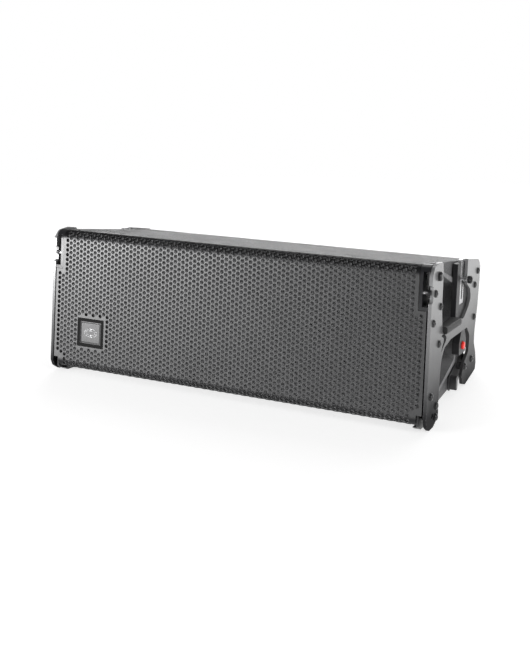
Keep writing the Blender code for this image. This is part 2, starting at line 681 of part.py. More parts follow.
def rigging_plate(shop, paints, side, tag):
    plate = shop.add("rigging_plate_" + tag,
                     prism(plate_outline(), "X", side * PLATE_IN, side * PLATE_OUT), paints["plate"])
    near = side * (PLATE_IN - 0.01)
    far = side * (PLATE_OUT + 0.01)
    holes = [rod("X", (FRONT_LINK_D, FRONT_PIN_H), FRONT_PIN_RADIUS + PIN_AIR, near, far, 12)]
    holes.append(rod("X", (FRONT_LINK_D, FOOT_H + 0.022), FRONT_PIN_RADIUS + PIN_AIR, near, far, 12))
    low, high = PLATE_NOTCH
    holes.append(prism(rounded([(-0.01, low), (0.008, low + 0.006, 0.003),
                                (0.008, high - 0.006, 0.003), (-0.01, high)]), "X", near, far))
    holes.append(prism([(BAR_WIDTH + d, h) for d, h in CRESCENT], "X", near, far))
    shop.cut(plate, together(holes))

    # riveted bolt heads outside, and welded stand-offs behind the plate
    studs = []
    for d, h, spaced, raised in BOLTS:
        root = PLATE_OUT - PLATE / 2
        if spaced:
            seat = FORK_OUT + GAP if raised else CAB_HALF + GAP
            studs.append(rod("X", (d, h), SPACER_RADIUS, side * seat, side * (PLATE_IN + 0.001), 8))
        studs.append(lathe([
            (0.0, side * root), (BOLT_HEAD, side * root), (BOLT_HEAD, side * (PLATE_OUT + 0.0025)),
            (BOLT_HEAD - 0.0025, side * (PLATE_OUT + 0.0042)), (0.0, side * (PLATE_OUT + 0.0042)),
        ], "X", (d, h), 8))
    shop.fuse(plate, together(studs))


def handle(shop, paints, side, tag):
    mouth = CAB_HALF + GAP
    lip = 0.0015
    floor = CAB_HALF - CUP_DEPTH
    cup = shop.add("handle_cup_" + tag,
                   prism(cup_outline(CUP_LIP), "X", side * mouth, side * (mouth + lip)),
                   paints["texture"])
    shop.fuse(cup, prism(cup_outline(0.0), "X", side * (floor - CUP_WALL), side * (mouth + lip / 2)))
    shop.cut(cup, prism(cup_outline(-CUP_WALL), "X", side * floor, side * (mouth + 0.02)))

    middle = PLATE_IN + PLATE / 2
    half = GRIP_SIZE[0] / 2
    base = STRUT_TOP - 0.0045
    section = rounded([(middle - half, base, 0.004), (middle + half, base, 0.004),
                       (middle + half, base + GRIP_SIZE[1], 0.004),
                       (middle - half, base + GRIP_SIZE[1], 0.004)], steps=3)
    grip = shop.add("handle_grip_" + tag,
                    prism([(side * x, h) for x, h in section], "Y", GRIP_START, GRIP_END),
                    paints["rubber"])
    slot = sorted((side * (PLATE_IN - GAP), side * (PLATE_OUT + GAP)))
    shop.cut(grip, box((slot[0], 0.0, base - 0.02), (slot[1], DEPTH, STRUT_TOP + GAP)))


def link_slot(d, low, high, radius):
    # a slot with round ends, as an outline of (d, h)
    return arc((d, high), radius, 0, 180, 6) + arc((d, low), radius, 180, 360, 6)


def front_link(shop, paints, side, tag):
    half = FRONT_LINK_WIDTH / 2
    d = FRONT_LINK_D
    pin_hole = FRONT_PIN_RADIUS + PIN_AIR
    top = FRONT_PIN_H + pin_hole + 0.0095
    base = FRONT_PIN_H - FRONT_LINK_TRAVEL - pin_hole - 0.026
    outline = rounded([(d - half, base, 0.004), (d + half, base, 0.004), (d + half, top, 0.009),
                       (d - half, top, 0.009)])
    origin = (side * (LINK_IN + LINK_OUT) / 2, d, FRONT_PIN_H)
    link = shop.add("front_link_" + tag,
                    prism(outline, "X", side * LINK_IN, side * LINK_OUT), paints["link"], origin)
    middle = (side * (LINK_IN + LINK_OUT) / 2, THUMB_H)
    shop.fuse(link, rod("Y", middle, 0.0026, 0.008, d - half + 0.003, 10),
              rod("Y", middle, 0.0038, 0.0035, 0.0095, 10))
    shop.cut(link, prism(link_slot(d, FRONT_PIN_H - FRONT_LINK_TRAVEL, FRONT_PIN_H, pin_hole),
                         "X", side * (LINK_IN - 0.01), side * (LINK_OUT + 0.01)))

    tip = LINK_IN - 0.0015
    head = PLATE_OUT + GAP
    shop.add("front_link_pin_" + tag, lathe([
        (0.0, side * tip), (FRONT_PIN_RADIUS - 0.001, side * tip),
        (FRONT_PIN_RADIUS, side * (tip + 0.0012)), (FRONT_PIN_RADIUS, side * head),
        (0.0085, side * head), (0.0085, side * (head + 0.004)), (0.0065, side * (head + 0.006)),
        (0.0, side * (head + 0.006)),
    ], "X", (d, FRONT_PIN_H), 16), paints["bolt"], origin=(side * head, d, FRONT_PIN_H))

    base = FOOT_H
    edge = FOOT_NOTCH_H
    outline = rounded([
        (0.004, edge - 0.0005), (CAB_FRONT + 0.0005, edge - 0.0005), (CAB_FRONT + 0.0005, edge + 0.020),
        (BAR_WIDTH, edge + 0.020), (BAR_WIDTH + 0.004, base + 0.012, 0.006),
        (BAR_WIDTH - 0.022, base + 0.0005, 0.005), (0.024, base + 0.0005, 0.005),
        (0.004, base + 0.010, 0.005),
    ])
    fork = shop.add("front_fork_" + tag,
                    prism(outline, "X", side * (CAB_HALF + GAP), side * FORK_OUT), paints["bolt"])
    under = -half_height(0.0) - 0.001
    sole = rounded([(0.012, under), (BAR_WIDTH - 0.010, under), (BAR_WIDTH - 0.024, base + 0.0005),
                    (0.024, base + 0.0005)])
    shop.fuse(fork, prism(sole, "X", side * (CAB_HALF - 0.009), side * (FORK_OUT - 0.0005)))
    shop.cut(fork, rod("X", (d, FOOT_H + 0.022), FRONT_PIN_RADIUS + PIN_AIR,
                       side * (CAB_HALF - 0.02), side * (FORK_OUT + 0.01), 12))


def rear_link(shop, paints, side, tag):
    d = REAR_LINK_D
    half = REAR_LINK_WIDTH / 2
    pin_hole = REAR_PIN_RADIUS + PIN_AIR
    top = half_height(d) + 0.003
    base = REAR_PIN_H - REAR_LINK_TRAVEL - pin_hole - 0.008
    outline = rounded([(d - half, base, 0.004), (d + half, base, 0.004), (d + half, top, 0.010),
                       (d - half, top, 0.010)])
    origin = (side * (LINK_IN + LINK_OUT) / 2, d, REAR_PIN_H)
    link = shop.add("rear_link_" + tag,
                    prism(outline, "X", side * LINK_IN, side * LINK_OUT), paints["silver"], origin)
    near = side * (LINK_IN - 0.01)
    far = side * (LINK_OUT + 0.01)
    shop.cut(link, together([
        prism(link_slot(d, REAR_PIN_H - REAR_LINK_TRAVEL, REAR_PIN_H, pin_hole), "X", near, far),
        rod("X", (d - 0.008, top - 0.013), 0.003, near, far, 10),
        rod("X", (d + 0.008, top - 0.013), 0.003, near, far, 10),
    ]))

    tip = LINK_IN - 0.0015
    head = PLATE_OUT + PIN_STAND_OFF
    shaft = REAR_PIN_RADIUS
    shop.add("rear_link_pin_" + tag, lathe([
        (0.0, side * tip), (shaft - 0.001, side * tip), (shaft, side * (tip + 0.0012)),
        (shaft, side * head), (0.0065, side * head), (0.0070, side * (head + 0.002)),
        (0.0070, side * (head + 0.007)), (0.0055, side * (head + 0.009)), (0.0, side * (head + 0.009)),
    ], "X", (d, REAR_PIN_H), 14), paints["silver"], origin=(side * head, d, REAR_PIN_H))

    slack = 0.0006
    rim = 0.026
    roof = half_height(d) - 0.002
    seat = base - GAP
    floor = STRUT_TOP + 0.0008
    outline = rounded([
        (d - half - slack - rim, floor, 0.003), (d + half + slack + 0.030, floor, 0.012),
        (d + half + slack + 0.043, floor + 0.034, 0.010), (d + half + slack + 0.024, roof - 0.040, 0.010),
        (d + half + slack + 0.024, roof, 0.003), (d + half + slack, roof), (d + half + slack, seat),
        (d - half - slack, seat), (d - half - slack, roof), (d - half - slack - rim, roof, 0.004),
    ])
    guide = shop.add("link_guide_" + tag,
                     prism(outline, "X", side * (CAB_HALF + 0.002), side * (PLATE_IN - GAP)),
                     paints["plastic"])
    web = rectangle((d - half - slack - 0.010, seat - 0.010), (d + half + slack + 0.010, roof - 0.003))
    shop.fuse(guide, prism(web, "X", side * (CAB_HALF + 0.0022), side * (LINK_IN - slack)))
    shop.cut(guide, rod("X", (d, REAR_PIN_H), pin_hole + 0.001, side * (CAB_HALF - 0.01),
                        side * (LINK_IN + 0.01), 12))

    low = -half_height(d)
    roof = low + 0.041
    outline = rounded([
        (d - 0.036, roof - 0.016, 0.004), (d + 0.016, roof), (d + 0.048, roof, 0.006),
        (d + 0.048, low + 0.002, 0.006),
        (d - 0.030, low - 0.004, 0.006), (d - 0.038, low + 0.012, 0.006),
    ])
    fork = shop.add("rear_fork_" + tag,
                    prism(outline, "X", side * (CAB_HALF + GAP), side * FORK_OUT), paints["bolt"])
    shop.fuse(fork, prism(rounded([(d - 0.033, roof - 0.017, 0.003), (d - 0.020, roof - 0.014, 0.003),
                                   (d - 0.020, low, 0.004), (d - 0.031, low - 0.001, 0.004)]),
                          "X", side * (FORK_OUT - 0.001), side * (PLATE_OUT - 0.001)))


def lock(shop, paints, side, tag):
    d = REAR_LINK_D + 0.006
    h = LOCK_H
    low = CAB_HALF + 0.0025
    face = PLATE_OUT - 0.0015
    room = STRUT_BOTTOM - h
    outline = rounded([(d - 0.026, h - 0.016, 0.006), (d + 0.026, h - 0.016, 0.006),
                       (d + 0.030, h + 0.008, 0.006), (d + 0.014, h + room - 0.0015, 0.003),
                       (d - 0.014, h + room - 0.0015, 0.003), (d - 0.028, h + 0.008, 0.006)])
    body = shop.add("lock_housing_" + tag, prism(outline, "X", side * low, side * face),
                    paints["plastic"])
    far = d + LOCK_WEB
    web = rounded([(d, h - 0.014), (far, h - 0.014, 0.006), (far, STRUT_BOTTOM - 0.004, 0.006),
                   (d, STRUT_BOTTOM - 0.004)])
    shop.fuse(body, prism(web, "X", side * (low + 0.0004), side * (PLATE_IN - GAP)))
    shop.cut(body, rod("X", (d, h), 0.0085, side * (face - 0.008), side * (face + 0.01), 16))
    seat = face - 0.008 + GAP
    shop.add("release_button_" + tag, lathe([
        (0.0, side * (seat + BUTTON_TRAVEL)), (0.0078, side * (seat + BUTTON_TRAVEL)),
        (0.0078, side * (face + 0.0025)), (0.0060, side * (face + 0.0045)),
        (0.0, side * (face + 0.0045)),
    ], "X", (d, h), 16), paints["red"], origin=(side * face, d, h))


def main():
    clear_scene()
    paints = {
        "texture": paint("texture_paint", (0.055, 0.055, 0.058), 0.62),
        "wood": paint("plywood", (0.42, 0.30, 0.18), 0.70),
        "grille": paint("grille_paint", (0.10, 0.10, 0.105), 0.45, 0.3),
        "foam": paint("grille_foam", (0.03, 0.03, 0.03), 0.95),
        "badge": paint("badge", (0.06, 0.06, 0.06), 0.35, 0.4),
        "plastic": paint("black_plastic", (0.02, 0.02, 0.02), 0.42),
        "rubber": paint("rubber", (0.025, 0.025, 0.025), 0.75),
        "cast": paint("cast_aluminium", (0.35, 0.35, 0.36), 0.50, 0.9),
        "magnet": paint("magnet", (0.10, 0.10, 0.11), 0.55, 0.3),
        "cone": paint("paper_cone", (0.04, 0.04, 0.04), 0.85),
        "panel": paint("amp_panel", (0.04, 0.04, 0.045), 0.50, 0.3),
        "anodised": paint("anodised", (0.05, 0.05, 0.055), 0.45, 0.8),
        "glass": paint("display", (0.02, 0.03, 0.05), 0.10),
        "board": paint("circuit_board", (0.03, 0.16, 0.07), 0.55),
        "copper": paint("copper_winding", (0.55, 0.27, 0.12), 0.40, 0.8),
        "plate": paint("plate_paint", (0.30, 0.30, 0.31), 0.45, 0.5),
        "bolt": paint("black_steel", (0.03, 0.03, 0.03), 0.40, 0.6),
        "steel": paint("steel", (0.50, 0.50, 0.51), 0.35, 1.0),
        "link": paint("link_steel", (0.05, 0.05, 0.05), 0.40, 0.7),
        "silver": paint("bright_steel", (0.75, 0.75, 0.76), 0.28, 1.0),
        "red": paint("red_button", (0.70, 0.03, 0.02), 0.40),
    }
    shop = Workshop()
    cabinet(shop, paints)
    grille(shop, paints)
    horn(shop, paints)
    amplifier(shop, paints)
    for side, tag in SIDES:
        corner_block(shop, paints, side, tag)
        woofer(shop, paints, side, tag)
        rigging_plate(shop, paints, side, tag)
        handle(shop, paints, side, tag)
        front_link(shop, paints, side, tag)
        rear_link(shop, paints, side, tag)
        lock(shop, paints, side, tag)


main()
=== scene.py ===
# Line array speaker: finishes, detail pieces, lights and camera around the CAD frame.

import json
import math

import bmesh
import bpy
from mathutils import Matrix, Vector


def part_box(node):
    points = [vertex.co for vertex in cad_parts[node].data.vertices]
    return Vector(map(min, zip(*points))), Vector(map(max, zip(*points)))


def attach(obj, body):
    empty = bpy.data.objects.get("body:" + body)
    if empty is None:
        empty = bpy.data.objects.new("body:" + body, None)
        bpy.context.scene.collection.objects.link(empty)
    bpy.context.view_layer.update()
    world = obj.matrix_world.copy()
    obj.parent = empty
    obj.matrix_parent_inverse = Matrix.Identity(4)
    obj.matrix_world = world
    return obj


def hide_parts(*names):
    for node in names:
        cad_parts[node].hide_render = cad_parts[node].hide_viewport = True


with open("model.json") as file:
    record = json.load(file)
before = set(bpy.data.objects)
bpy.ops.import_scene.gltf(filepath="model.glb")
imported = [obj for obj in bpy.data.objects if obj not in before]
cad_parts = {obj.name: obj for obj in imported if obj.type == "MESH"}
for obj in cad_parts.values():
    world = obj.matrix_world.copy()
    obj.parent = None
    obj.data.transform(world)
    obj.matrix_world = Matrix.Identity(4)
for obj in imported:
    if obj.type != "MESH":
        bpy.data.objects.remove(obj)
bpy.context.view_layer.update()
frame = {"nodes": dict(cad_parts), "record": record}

bpy.context.scene.view_settings.view_transform = "Standard"

sides = {"left": -1, "right": 1}
nodeBody = {}
for bodyName, members in frame["record"]["behaviour"]["bodies"].items():
    for member in members:
        nodeBody[member] = bodyName

grilleLow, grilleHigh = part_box("grille")
plateLow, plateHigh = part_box("rigging_plate_right")
faceY = grilleLow.y        # the grille's front plane
midZ = (grilleLow.z + grilleHigh.z) / 2
rollRadius = 0.018         # outside of the grille's rolled top and bottom edges
flatHalf = (grilleHigh.z - grilleLow.z) / 2 - rollRadius
print("frame loaded:", len(frame["nodes"]), "nodes")


class Wire:
    # one socket of a node tree, so that node maths reads as plain arithmetic
    def __init__(self, maker, socket):
        self.maker = maker
        self.socket = socket

    def math(self, operation, first, second):
        return self.maker.node("ShaderNodeMath", {"operation": operation},
                               {0: first, 1: second})

    def __add__(self, other):
        return self.math("ADD", self, other)

    def __sub__(self, other):
        return self.math("SUBTRACT", self, other)

    def __rsub__(self, other):
        return self.math("SUBTRACT", other, self)

    def __mul__(self, other):
        return self.math("MULTIPLY", self, other)

    def __truediv__(self, other):
        return self.math("DIVIDE", self, other)

    def __lt__(self, other):
        return self.math("LESS_THAN", self, other)

    def __gt__(self, other):
        return self.math("GREATER_THAN", self, other)

    def absolute(self):
        return self.maker.node("ShaderNodeMath", {"operation": "ABSOLUTE"}, {0: self})

    def part(self, axis):
        return self.maker.node("ShaderNodeSeparateXYZ", None, {0: self}, "XYZ".index(axis))


class NodeMaker:
    # adds nodes to a tree: settings are set first, then the sockets' values or links
    def __init__(self, tree):
        self.tree = tree

    def node(self, kind, settings=None, inputs=None, output=0):
        made = self.tree.nodes.new(kind)
        for name, value in (settings or {}).items():
            setattr(made, name, value)
        for key, value in (inputs or {}).items():
            if isinstance(value, Wire):
                self.tree.links.new(value.socket, made.inputs[key])
            else:
                made.inputs[key].default_value = value
        return Wire(self, made.outputs[output])


class Finish(NodeMaker):
    # a surface finish on a Principled shader, laid out in Object coordinates
    def __init__(self, name, **constants):
        self.material = bpy.data.materials.new(name)
        self.material.use_nodes = True
        NodeMaker.__init__(self, self.material.node_tree)
        self.shader = self.tree.nodes["Principled BSDF"]
        self.place = self.node("ShaderNodeTexCoord", output="Object")
        for label, value in constants.items():
            self.shader.inputs[label.replace("_", " ")].default_value = value

    def stretch(self, x, y, z):
        return self.node("ShaderNodeMapping", None, {"Vector": self.place, "Scale": (x, y, z)})

    def noise(self, scale, detail=3.0, rough=0.55, place=None):
        return self.node("ShaderNodeTexNoise", None, {
            "Vector": place or self.place, "Scale": scale, "Detail": detail, "Roughness": rough})

    def cells(self, scale, feature="F1"):
        return self.node("ShaderNodeTexVoronoi", {"feature": feature},
                         {"Vector": self.place, "Scale": scale})

    def spread(self, value, low, high, toLow=0.0, toHigh=1.0):
        return self.node("ShaderNodeMapRange", None, {
            0: value, 1: low, 2: high, 3: toLow, 4: toHigh})

    def blend(self, first, second, factor):
        colours = [(*c, 1.0) if isinstance(c, tuple) else c for c in (first, second)]
        return self.node("ShaderNodeMix", {"data_type": "RGBA"},
                         {0: factor, 6: colours[0], 7: colours[1]}, 2)

    def edges(self, radius, low=0.9, high=0.995):
        # 1 where the surface turns a corner, 0 on the flat
        rounded = self.node("ShaderNodeBevel", {"samples": 4}, {"Radius": radius})
        plain = self.node("ShaderNodeNewGeometry", output="Normal")
        match = self.node("ShaderNodeVectorMath", {"operation": "DOT_PRODUCT"},
                          {0: rounded, 1: plain}, "Value")
        return self.spread(match, low, high, 1.0, 0.0)

    def bump(self, height, strength, distance):
        return self.node("ShaderNodeBump", None, {
            "Height": height, "Strength": strength, "Distance": distance})

    def use(self, **wires):
        for label, wire in wires.items():
            self.tree.links.new(wire.socket, self.shader.inputs[label.replace("_", " ")])
        return self.material


finishes = {}


def texturedPaint(name, shade, dusty, grain, depth):
    # hard-wearing cabinet coating: packed round grains that catch the light
    made = Finish(name, IOR=1.5)
    pebbles = made.cells(grain)
    fine = made.noise(grain * 1.7, 4.0, 0.6)
    broad = made.noise(14.0, 3.0)
    height = (1 - pebbles) * 0.7 + fine * 0.6
    wear = made.edges(0.0015) * made.spread(made.noise(60.0), 0.5, 0.75)
    tone = made.spread(fine * 0.6 + broad * 0.5, 0.35, 0.8)
    colour = made.blend(shade, dusty, tone)
    colour = made.blend(colour, tuple(v * 1.9 for v in dusty), wear * 0.5)
    rough = made.spread(fine + broad, 0.7, 1.3, 0.42, 0.62)
    finishes[name] = made.use(Base_Color=colour, Roughness=rough,
                              Normal=made.bump(height, 0.75, depth))


def satinPaint(name, shade, light, roughness, worn, flat=None, **constants):
    # powder coat: a fine orange-peel skin, a little rubbed along the edges; further than
    # flat from the grille's middle it is made dark and metallic, a painted shade on the rolled
    # edges
    made = Finish(name, **constants)
    skin = made.noise(2600.0, 2.0)
    peel = made.noise(2600.0 / 7.0, 2.0)
    smear = made.noise(9.0, 4.0, 0.65)
    rub = made.edges(0.0010) * made.spread(made.noise(110.0, 4.0), 0.48, 0.72)
    colour = made.blend(shade, light, made.spread(smear, 0.3, 0.75))
    colour = made.blend(colour, (0.34, 0.34, 0.35), rub * worn)
    rough = made.spread(smear + skin * 0.5, 0.4, 1.1, roughness - 0.07, roughness + 0.08)
    use = {"Base_Color": colour, "Roughness": rough,
           "Normal": made.bump(skin * 0.5 + peel, 0.22, 0.0003)}
    # painted shade: the rolled edges are made dark and metallic, so that they reflect little light
    if flat:
        away = (made.place.part("Z") - midZ).absolute()
        use["Metallic"] = made.spread(away, flat - 0.001, flat + 0.005, 0.0, 0.85)
    finishes[name] = made.use(**use)


def plateWithPaintedShade():
    # the rigging plates' paint, with painted shade and painted sheen: glossy and lighter near the
    # top, dull and dark near the floor
    made = Finish("platePaint", Specular_IOR_Level=0.0, Coat_Roughness=0.22, Coat_IOR=2.0)
    skin = made.noise(2400.0, 2.0)
    peel = made.noise(330.0, 2.0)
    smear = made.noise(11.0, 4.0, 0.65)
    # painted light: this ramp runs from 0 near the floor to 1 near the top, standing in for shade
    # low down and sheen high up
    paintedLightRise = made.spread(made.place.part("Z") + smear * 0.05, plateLow.z + 0.045, plateHigh.z - 0.02)
    rub = made.edges(0.0010) * made.spread(made.noise(110.0, 4.0), 0.45, 0.70)
    # painted shade: near black at the bottom, lighter towards the top, and the coat thickens
    # towards the top
    colour = made.blend((0.010, 0.010, 0.011), (0.200, 0.200, 0.203), paintedLightRise)
    colour = made.blend(colour, (0.38, 0.38, 0.39), rub * 0.6)
    rough = made.spread(smear + skin * 0.5, 0.4, 1.1, 0.24, 0.40)
    finishes["platePaint"] = made.use(Base_Color=colour, Roughness=rough,
                                      Coat_Weight=paintedLightRise * 0.86 + 0.10,
                                      Normal=made.bump(skin * 0.5 + peel, 0.16, 0.00025))


def mouldedPlastic(name, shade, roughness, grain=1500.0, depth=0.0002):
    # injection-moulded part: spark-eroded grain, faint flow marks and handling shine
    made = Finish(name, IOR=1.49)
    erosion = made.cells(grain)
    flow = made.noise(22.0, 3.0, 0.6, made.stretch(1.0, 1.0, 0.35))
    handled = made.noise(70.0, 4.0)
    colour = made.blend(shade, tuple(v * 1.8 + 0.004 for v in shade), made.spread(flow, 0.3, 0.75))
    rough = made.spread(flow * 0.5 + handled * 0.5, 0.3, 0.75, roughness - 0.08, roughness + 0.1)
    finishes[name] = made.use(Base_Color=colour, Roughness=rough,
                              Normal=made.bump(erosion + handled * 0.4, 0.3, depth))


def brushedMetal(name, shade, roughness, along, metallic=1.0):
    # drawn or milled metal: hairlines across one direction, dull patches and bright corners
    made = Finish(name, Metallic=metallic)
    lines = made.noise(900.0, 3.0, 0.7, made.stretch(*along))
    patch = made.noise(35.0, 4.0, 0.6)
    corner = made.edges(0.0008) * made.spread(made.noise(160.0), 0.4, 0.7)
    dull = tuple(v * 0.62 for v in shade)
    bright = tuple(min(1.0, v * 1.25 + 0.03) for v in shade)
    colour = made.blend(dull, shade, made.spread(lines * 0.6 + patch * 0.5, 0.35, 0.75))
    colour = made.blend(colour, bright, corner * 0.25)
    rough = made.spread(lines + patch, 0.7, 1.3, roughness - 0.08, roughness + 0.12)
    finishes[name] = made.use(Base_Color=colour, Roughness=rough,
                              Normal=made.bump(lines, 0.2, 0.00015))


def frameGum():
    # near-black gum round the badge, a painted shadow standing in for the shade of the badge's
    # recess: it swallows nearly all light
    made = Finish("frameGum", Specular_IOR_Level=0.06)
    grain = made.noise(1800.0, 2.0)
    dust = made.noise(60.0, 4.0)
    finishes["frameGum"] = made.use(
        Base_Color=made.blend((0.006, 0.006, 0.006), (0.014, 0.014, 0.014), dust),
        Roughness=made.spread(dust, 0.3, 0.7, 0.60, 0.80), Normal=made.bump(grain, 0.3, 0.0001))


def openFoam():
    # acoustic foam behind the grille: deep pores with soft walls
    made = Finish("grilleFoam", Sheen_Weight=0.25, Sheen_Roughness=0.6)
    pores = made.cells(900.0, feature="DISTANCE_TO_EDGE")
    cloud = made.noise(260.0, 4.0)
    colour = made.blend((0.120, 0.120, 0.123), (0.300, 0.300, 0.307),
                        made.spread(pores + cloud * 0.3, 0.1, 0.6))
    rough = made.spread(cloud, 0.3, 0.7, 0.82, 0.98)
    finishes["grilleFoam"] = made.use(Base_Color=colour, Roughness=rough,
                                      Normal=made.bump(pores + cloud, 0.9, 0.0012))


def plywood():
    made = Finish("plywood")
    plies = made.node("ShaderNodeTexWave", {"wave_type": "BANDS", "bands_direction": "X"}, {
        "Vector": made.place, "Scale": 130.0, "Distortion": 1.2, "Detail": 2.0})
    grain = made.noise(70.0, 5.0, 0.65, made.stretch(1.0, 1.0, 9.0))
    colour = made.blend((0.30, 0.19, 0.10), (0.52, 0.37, 0.22), made.spread(grain, 0.3, 0.7))
    colour = made.blend(colour, (0.22, 0.13, 0.07), plies * 0.35)
    rough = made.spread(grain, 0.3, 0.7, 0.55, 0.78)
    finishes["plywood"] = made.use(Base_Color=colour, Roughness=rough,
                                   Normal=made.bump(grain + plies * 0.3, 0.35, 0.0004))


def paperCone():
    made = Finish("paperCone", Coat_Weight=0.1)
    fibres = made.noise(500.0, 5.0, 0.7, made.stretch(1.0, 3.0, 0.5))
    felt = made.cells(700.0)
    colour = made.blend((0.018, 0.017, 0.016), (0.055, 0.053, 0.050), made.spread(fibres, 0.3, 0.7))
    rough = made.spread(fibres, 0.3, 0.7, 0.7, 0.9)
    finishes["paperCone"] = made.use(Base_Color=colour, Roughness=rough,
                                     Normal=made.bump(fibres + felt * 0.4, 0.5, 0.0004))


def circuitBoard():
    made = Finish("circuitBoard", Coat_Weight=0.5, Coat_Roughness=0.15)
    tracks = made.node("ShaderNodeTexBrick", None, {
        "Vector": made.place, "Scale": 120.0, "Mortar Size": 0.06}, "Fac")
    speck = made.noise(800.0, 3.0)
    colour = made.blend((0.012, 0.085, 0.035), (0.03, 0.17, 0.07), made.spread(speck, 0.3, 0.7))
    colour = made.blend(colour, (0.05, 0.24, 0.10), tracks)
    rough = made.spread(speck, 0.3, 0.7, 0.35, 0.55)
    finishes["circuitBoard"] = made.use(Base_Color=colour, Roughness=rough,
                                        Normal=made.bump(tracks + speck * 0.2, 0.3, 0.0002))


def copperWinding():
    made = Finish("copperWinding", Metallic=0.85, Coat_Weight=0.4)
    turns = made.node("ShaderNodeTexWave", {"wave_type": "BANDS", "bands_direction": "Y"}, {
        "Vector": made.place, "Scale": 320.0, "Distortion": 0.6, "Detail": 1.0})
    tarnish = made.noise(120.0, 4.0)
    colour = made.blend((0.30, 0.12, 0.05), (0.72, 0.36, 0.17),
                        made.spread(turns + tarnish, 0.5, 1.4))
    rough = made.spread(tarnish, 0.3, 0.7, 0.28, 0.48)
    finishes["copperWinding"] = made.use(Base_Color=colour, Roughness=rough,
                                         Normal=made.bump(turns, 0.6, 0.0006))


def displayGlass():
    # smoked window with a plain lit level bar behind it
    low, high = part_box("display_window")
    middle = (low + high) / 2
    made = Finish("displayGlass", Roughness=0.08, Coat_Weight=0.6)
    x = made.place.part("X")
    z = made.place.part("Z")
    bars = made.node("ShaderNodeMath", {"operation": "FRACT"}, {0: (x - low.x) * 420.0})
    inBar = (bars > 0.25) * ((z - middle.z).absolute() < 0.0035)
    inBar = inBar * ((x - middle.x).absolute() < 0.017)
    dust = made.noise(400.0, 3.0)
    colour = made.blend((0.006, 0.010, 0.016), (0.018, 0.026, 0.036), made.spread(dust, 0.3, 0.7))
    glow = made.blend((0.0, 0.0, 0.0), (0.15, 0.55, 0.75), inBar)
    made.shader.inputs["Emission Strength"].default_value = 0.9
    rough = made.spread(dust, 0.3, 0.8, 0.06, 0.2)
    finishes["displayGlass"] = made.use(Base_Color=colour, Emission_Color=glow, Roughness=rough,
                                        Normal=made.bump(dust, 0.05, 0.0001))


texturedPaint("cabinetPaint", (0.040, 0.040, 0.042), (0.150, 0.150, 0.153), 900.0, 0.0011)
# painted light: the handle cups take a lighter copy of the cabinet paint, standing in for light
# that reaches into the recesses
texturedPaint("cupPaint", (0.080, 0.080, 0.082), (0.380, 0.380, 0.386), 700.0, 0.0014)
satinPaint("grillePaint", (0.013, 0.013, 0.014), (0.028, 0.028, 0.029), 0.40, 0.3, IOR=1.65,
           flat=flatHalf)
plateWithPaintedShade()
satinPaint("badgePaint", (0.075, 0.075, 0.076), (0.120, 0.120, 0.122), 0.34, 0.3)
satinPaint("panelPaint", (0.020, 0.020, 0.021), (0.038, 0.038, 0.040), 0.42, 0.15)
satinPaint("blackSteel", (0.012, 0.012, 0.013), (0.026, 0.026, 0.027), 0.30, 0.5)
mouldedPlastic("blackPlastic", (0.010, 0.010, 0.011), 0.42)
mouldedPlastic("glossPlastic", (0.006, 0.006, 0.007), 0.30, 1500.0, 0.00005)
mouldedPlastic("gripRubber", (0.018, 0.018, 0.018), 0.58, 1100.0, 0.0005)
mouldedPlastic("surroundRubber", (0.014, 0.014, 0.014), 0.52, 1900.0, 0.0002)
mouldedPlastic("redPlastic", (0.62, 0.018, 0.012), 0.30)
brushedMetal("castAluminium", (0.46, 0.46, 0.47), 0.46, (1.0, 1.0, 1.0), 0.9)
brushedMetal("magnetSteel", (0.16, 0.16, 0.17), 0.42, (1.0, 6.0, 1.0), 0.8)
brushedMetal("anodised", (0.045, 0.045, 0.050), 0.38, (6.0, 6.0, 0.4), 0.8)
brushedMetal("linkSteel", (0.070, 0.070, 0.073), 0.30, (1.0, 1.0, 8.0), 0.9)
brushedMetal("brightSteel", (0.78, 0.78, 0.79), 0.24, (6.0, 6.0, 0.5))
brushedMetal("markMetal", (0.62, 0.62, 0.63), 0.44, (6.0, 1.0, 1.0))
frameGum()
openFoam()
plywood()
paperCone()
circuitBoard()
copperWinding()
displayGlass()
print("finishes made:", len(finishes))


def settle(name, mesh, finish, like, stands=()):
    # puts a finished mesh in the scene with its finish, under the body of the node that it is like,
    # and hides the nodes that it stands for
    mesh.materials.clear()
    mesh.materials.append(finishes[finish])
    piece = bpy.data.objects.new(name, mesh)
    bpy.context.scene.collection.objects.link(piece)
    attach(piece, nodeBody[like])
    if stands:
        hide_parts(*stands)


def smooth(mesh, angle):
    if "custom_normal" in mesh.attributes:
        mesh.attributes.remove(mesh.attributes["custom_normal"])
    mesh.shade_smooth()
    mesh.set_sharp_from_angle(angle=math.radians(angle))


def evaluated(mesh, addModifiers):
    # the mesh after its modifiers, as a plain mesh
    carrier = bpy.data.objects.new("carrier", mesh)
    bpy.context.scene.collection.objects.link(carrier)
    addModifiers(carrier)
    depsgraph = bpy.context.evaluated_depsgraph_get()
    depsgraph.update()
    made = bpy.data.meshes.new_from_object(carrier.evaluated_get(depsgraph))
    bpy.data.objects.remove(carrier, do_unlink=True)
    return made


def softened(mesh, width, segments=2):
    # rounds a mesh's corners and keeps its flats flat
    smooth(mesh, 25)

    def addBevel(carrier):
        bevel = carrier.modifiers.new("corners", "BEVEL")
        bevel.width = width
        bevel.segments = segments
        bevel.limit_method = "ANGLE"
        bevel.angle_limit = math.radians(32)
        bevel.harden_normals = True
        bevel.use_clamp_overlap = True
        bevel.miter_outer = "MITER_ARC"

    return evaluated(mesh, addBevel)


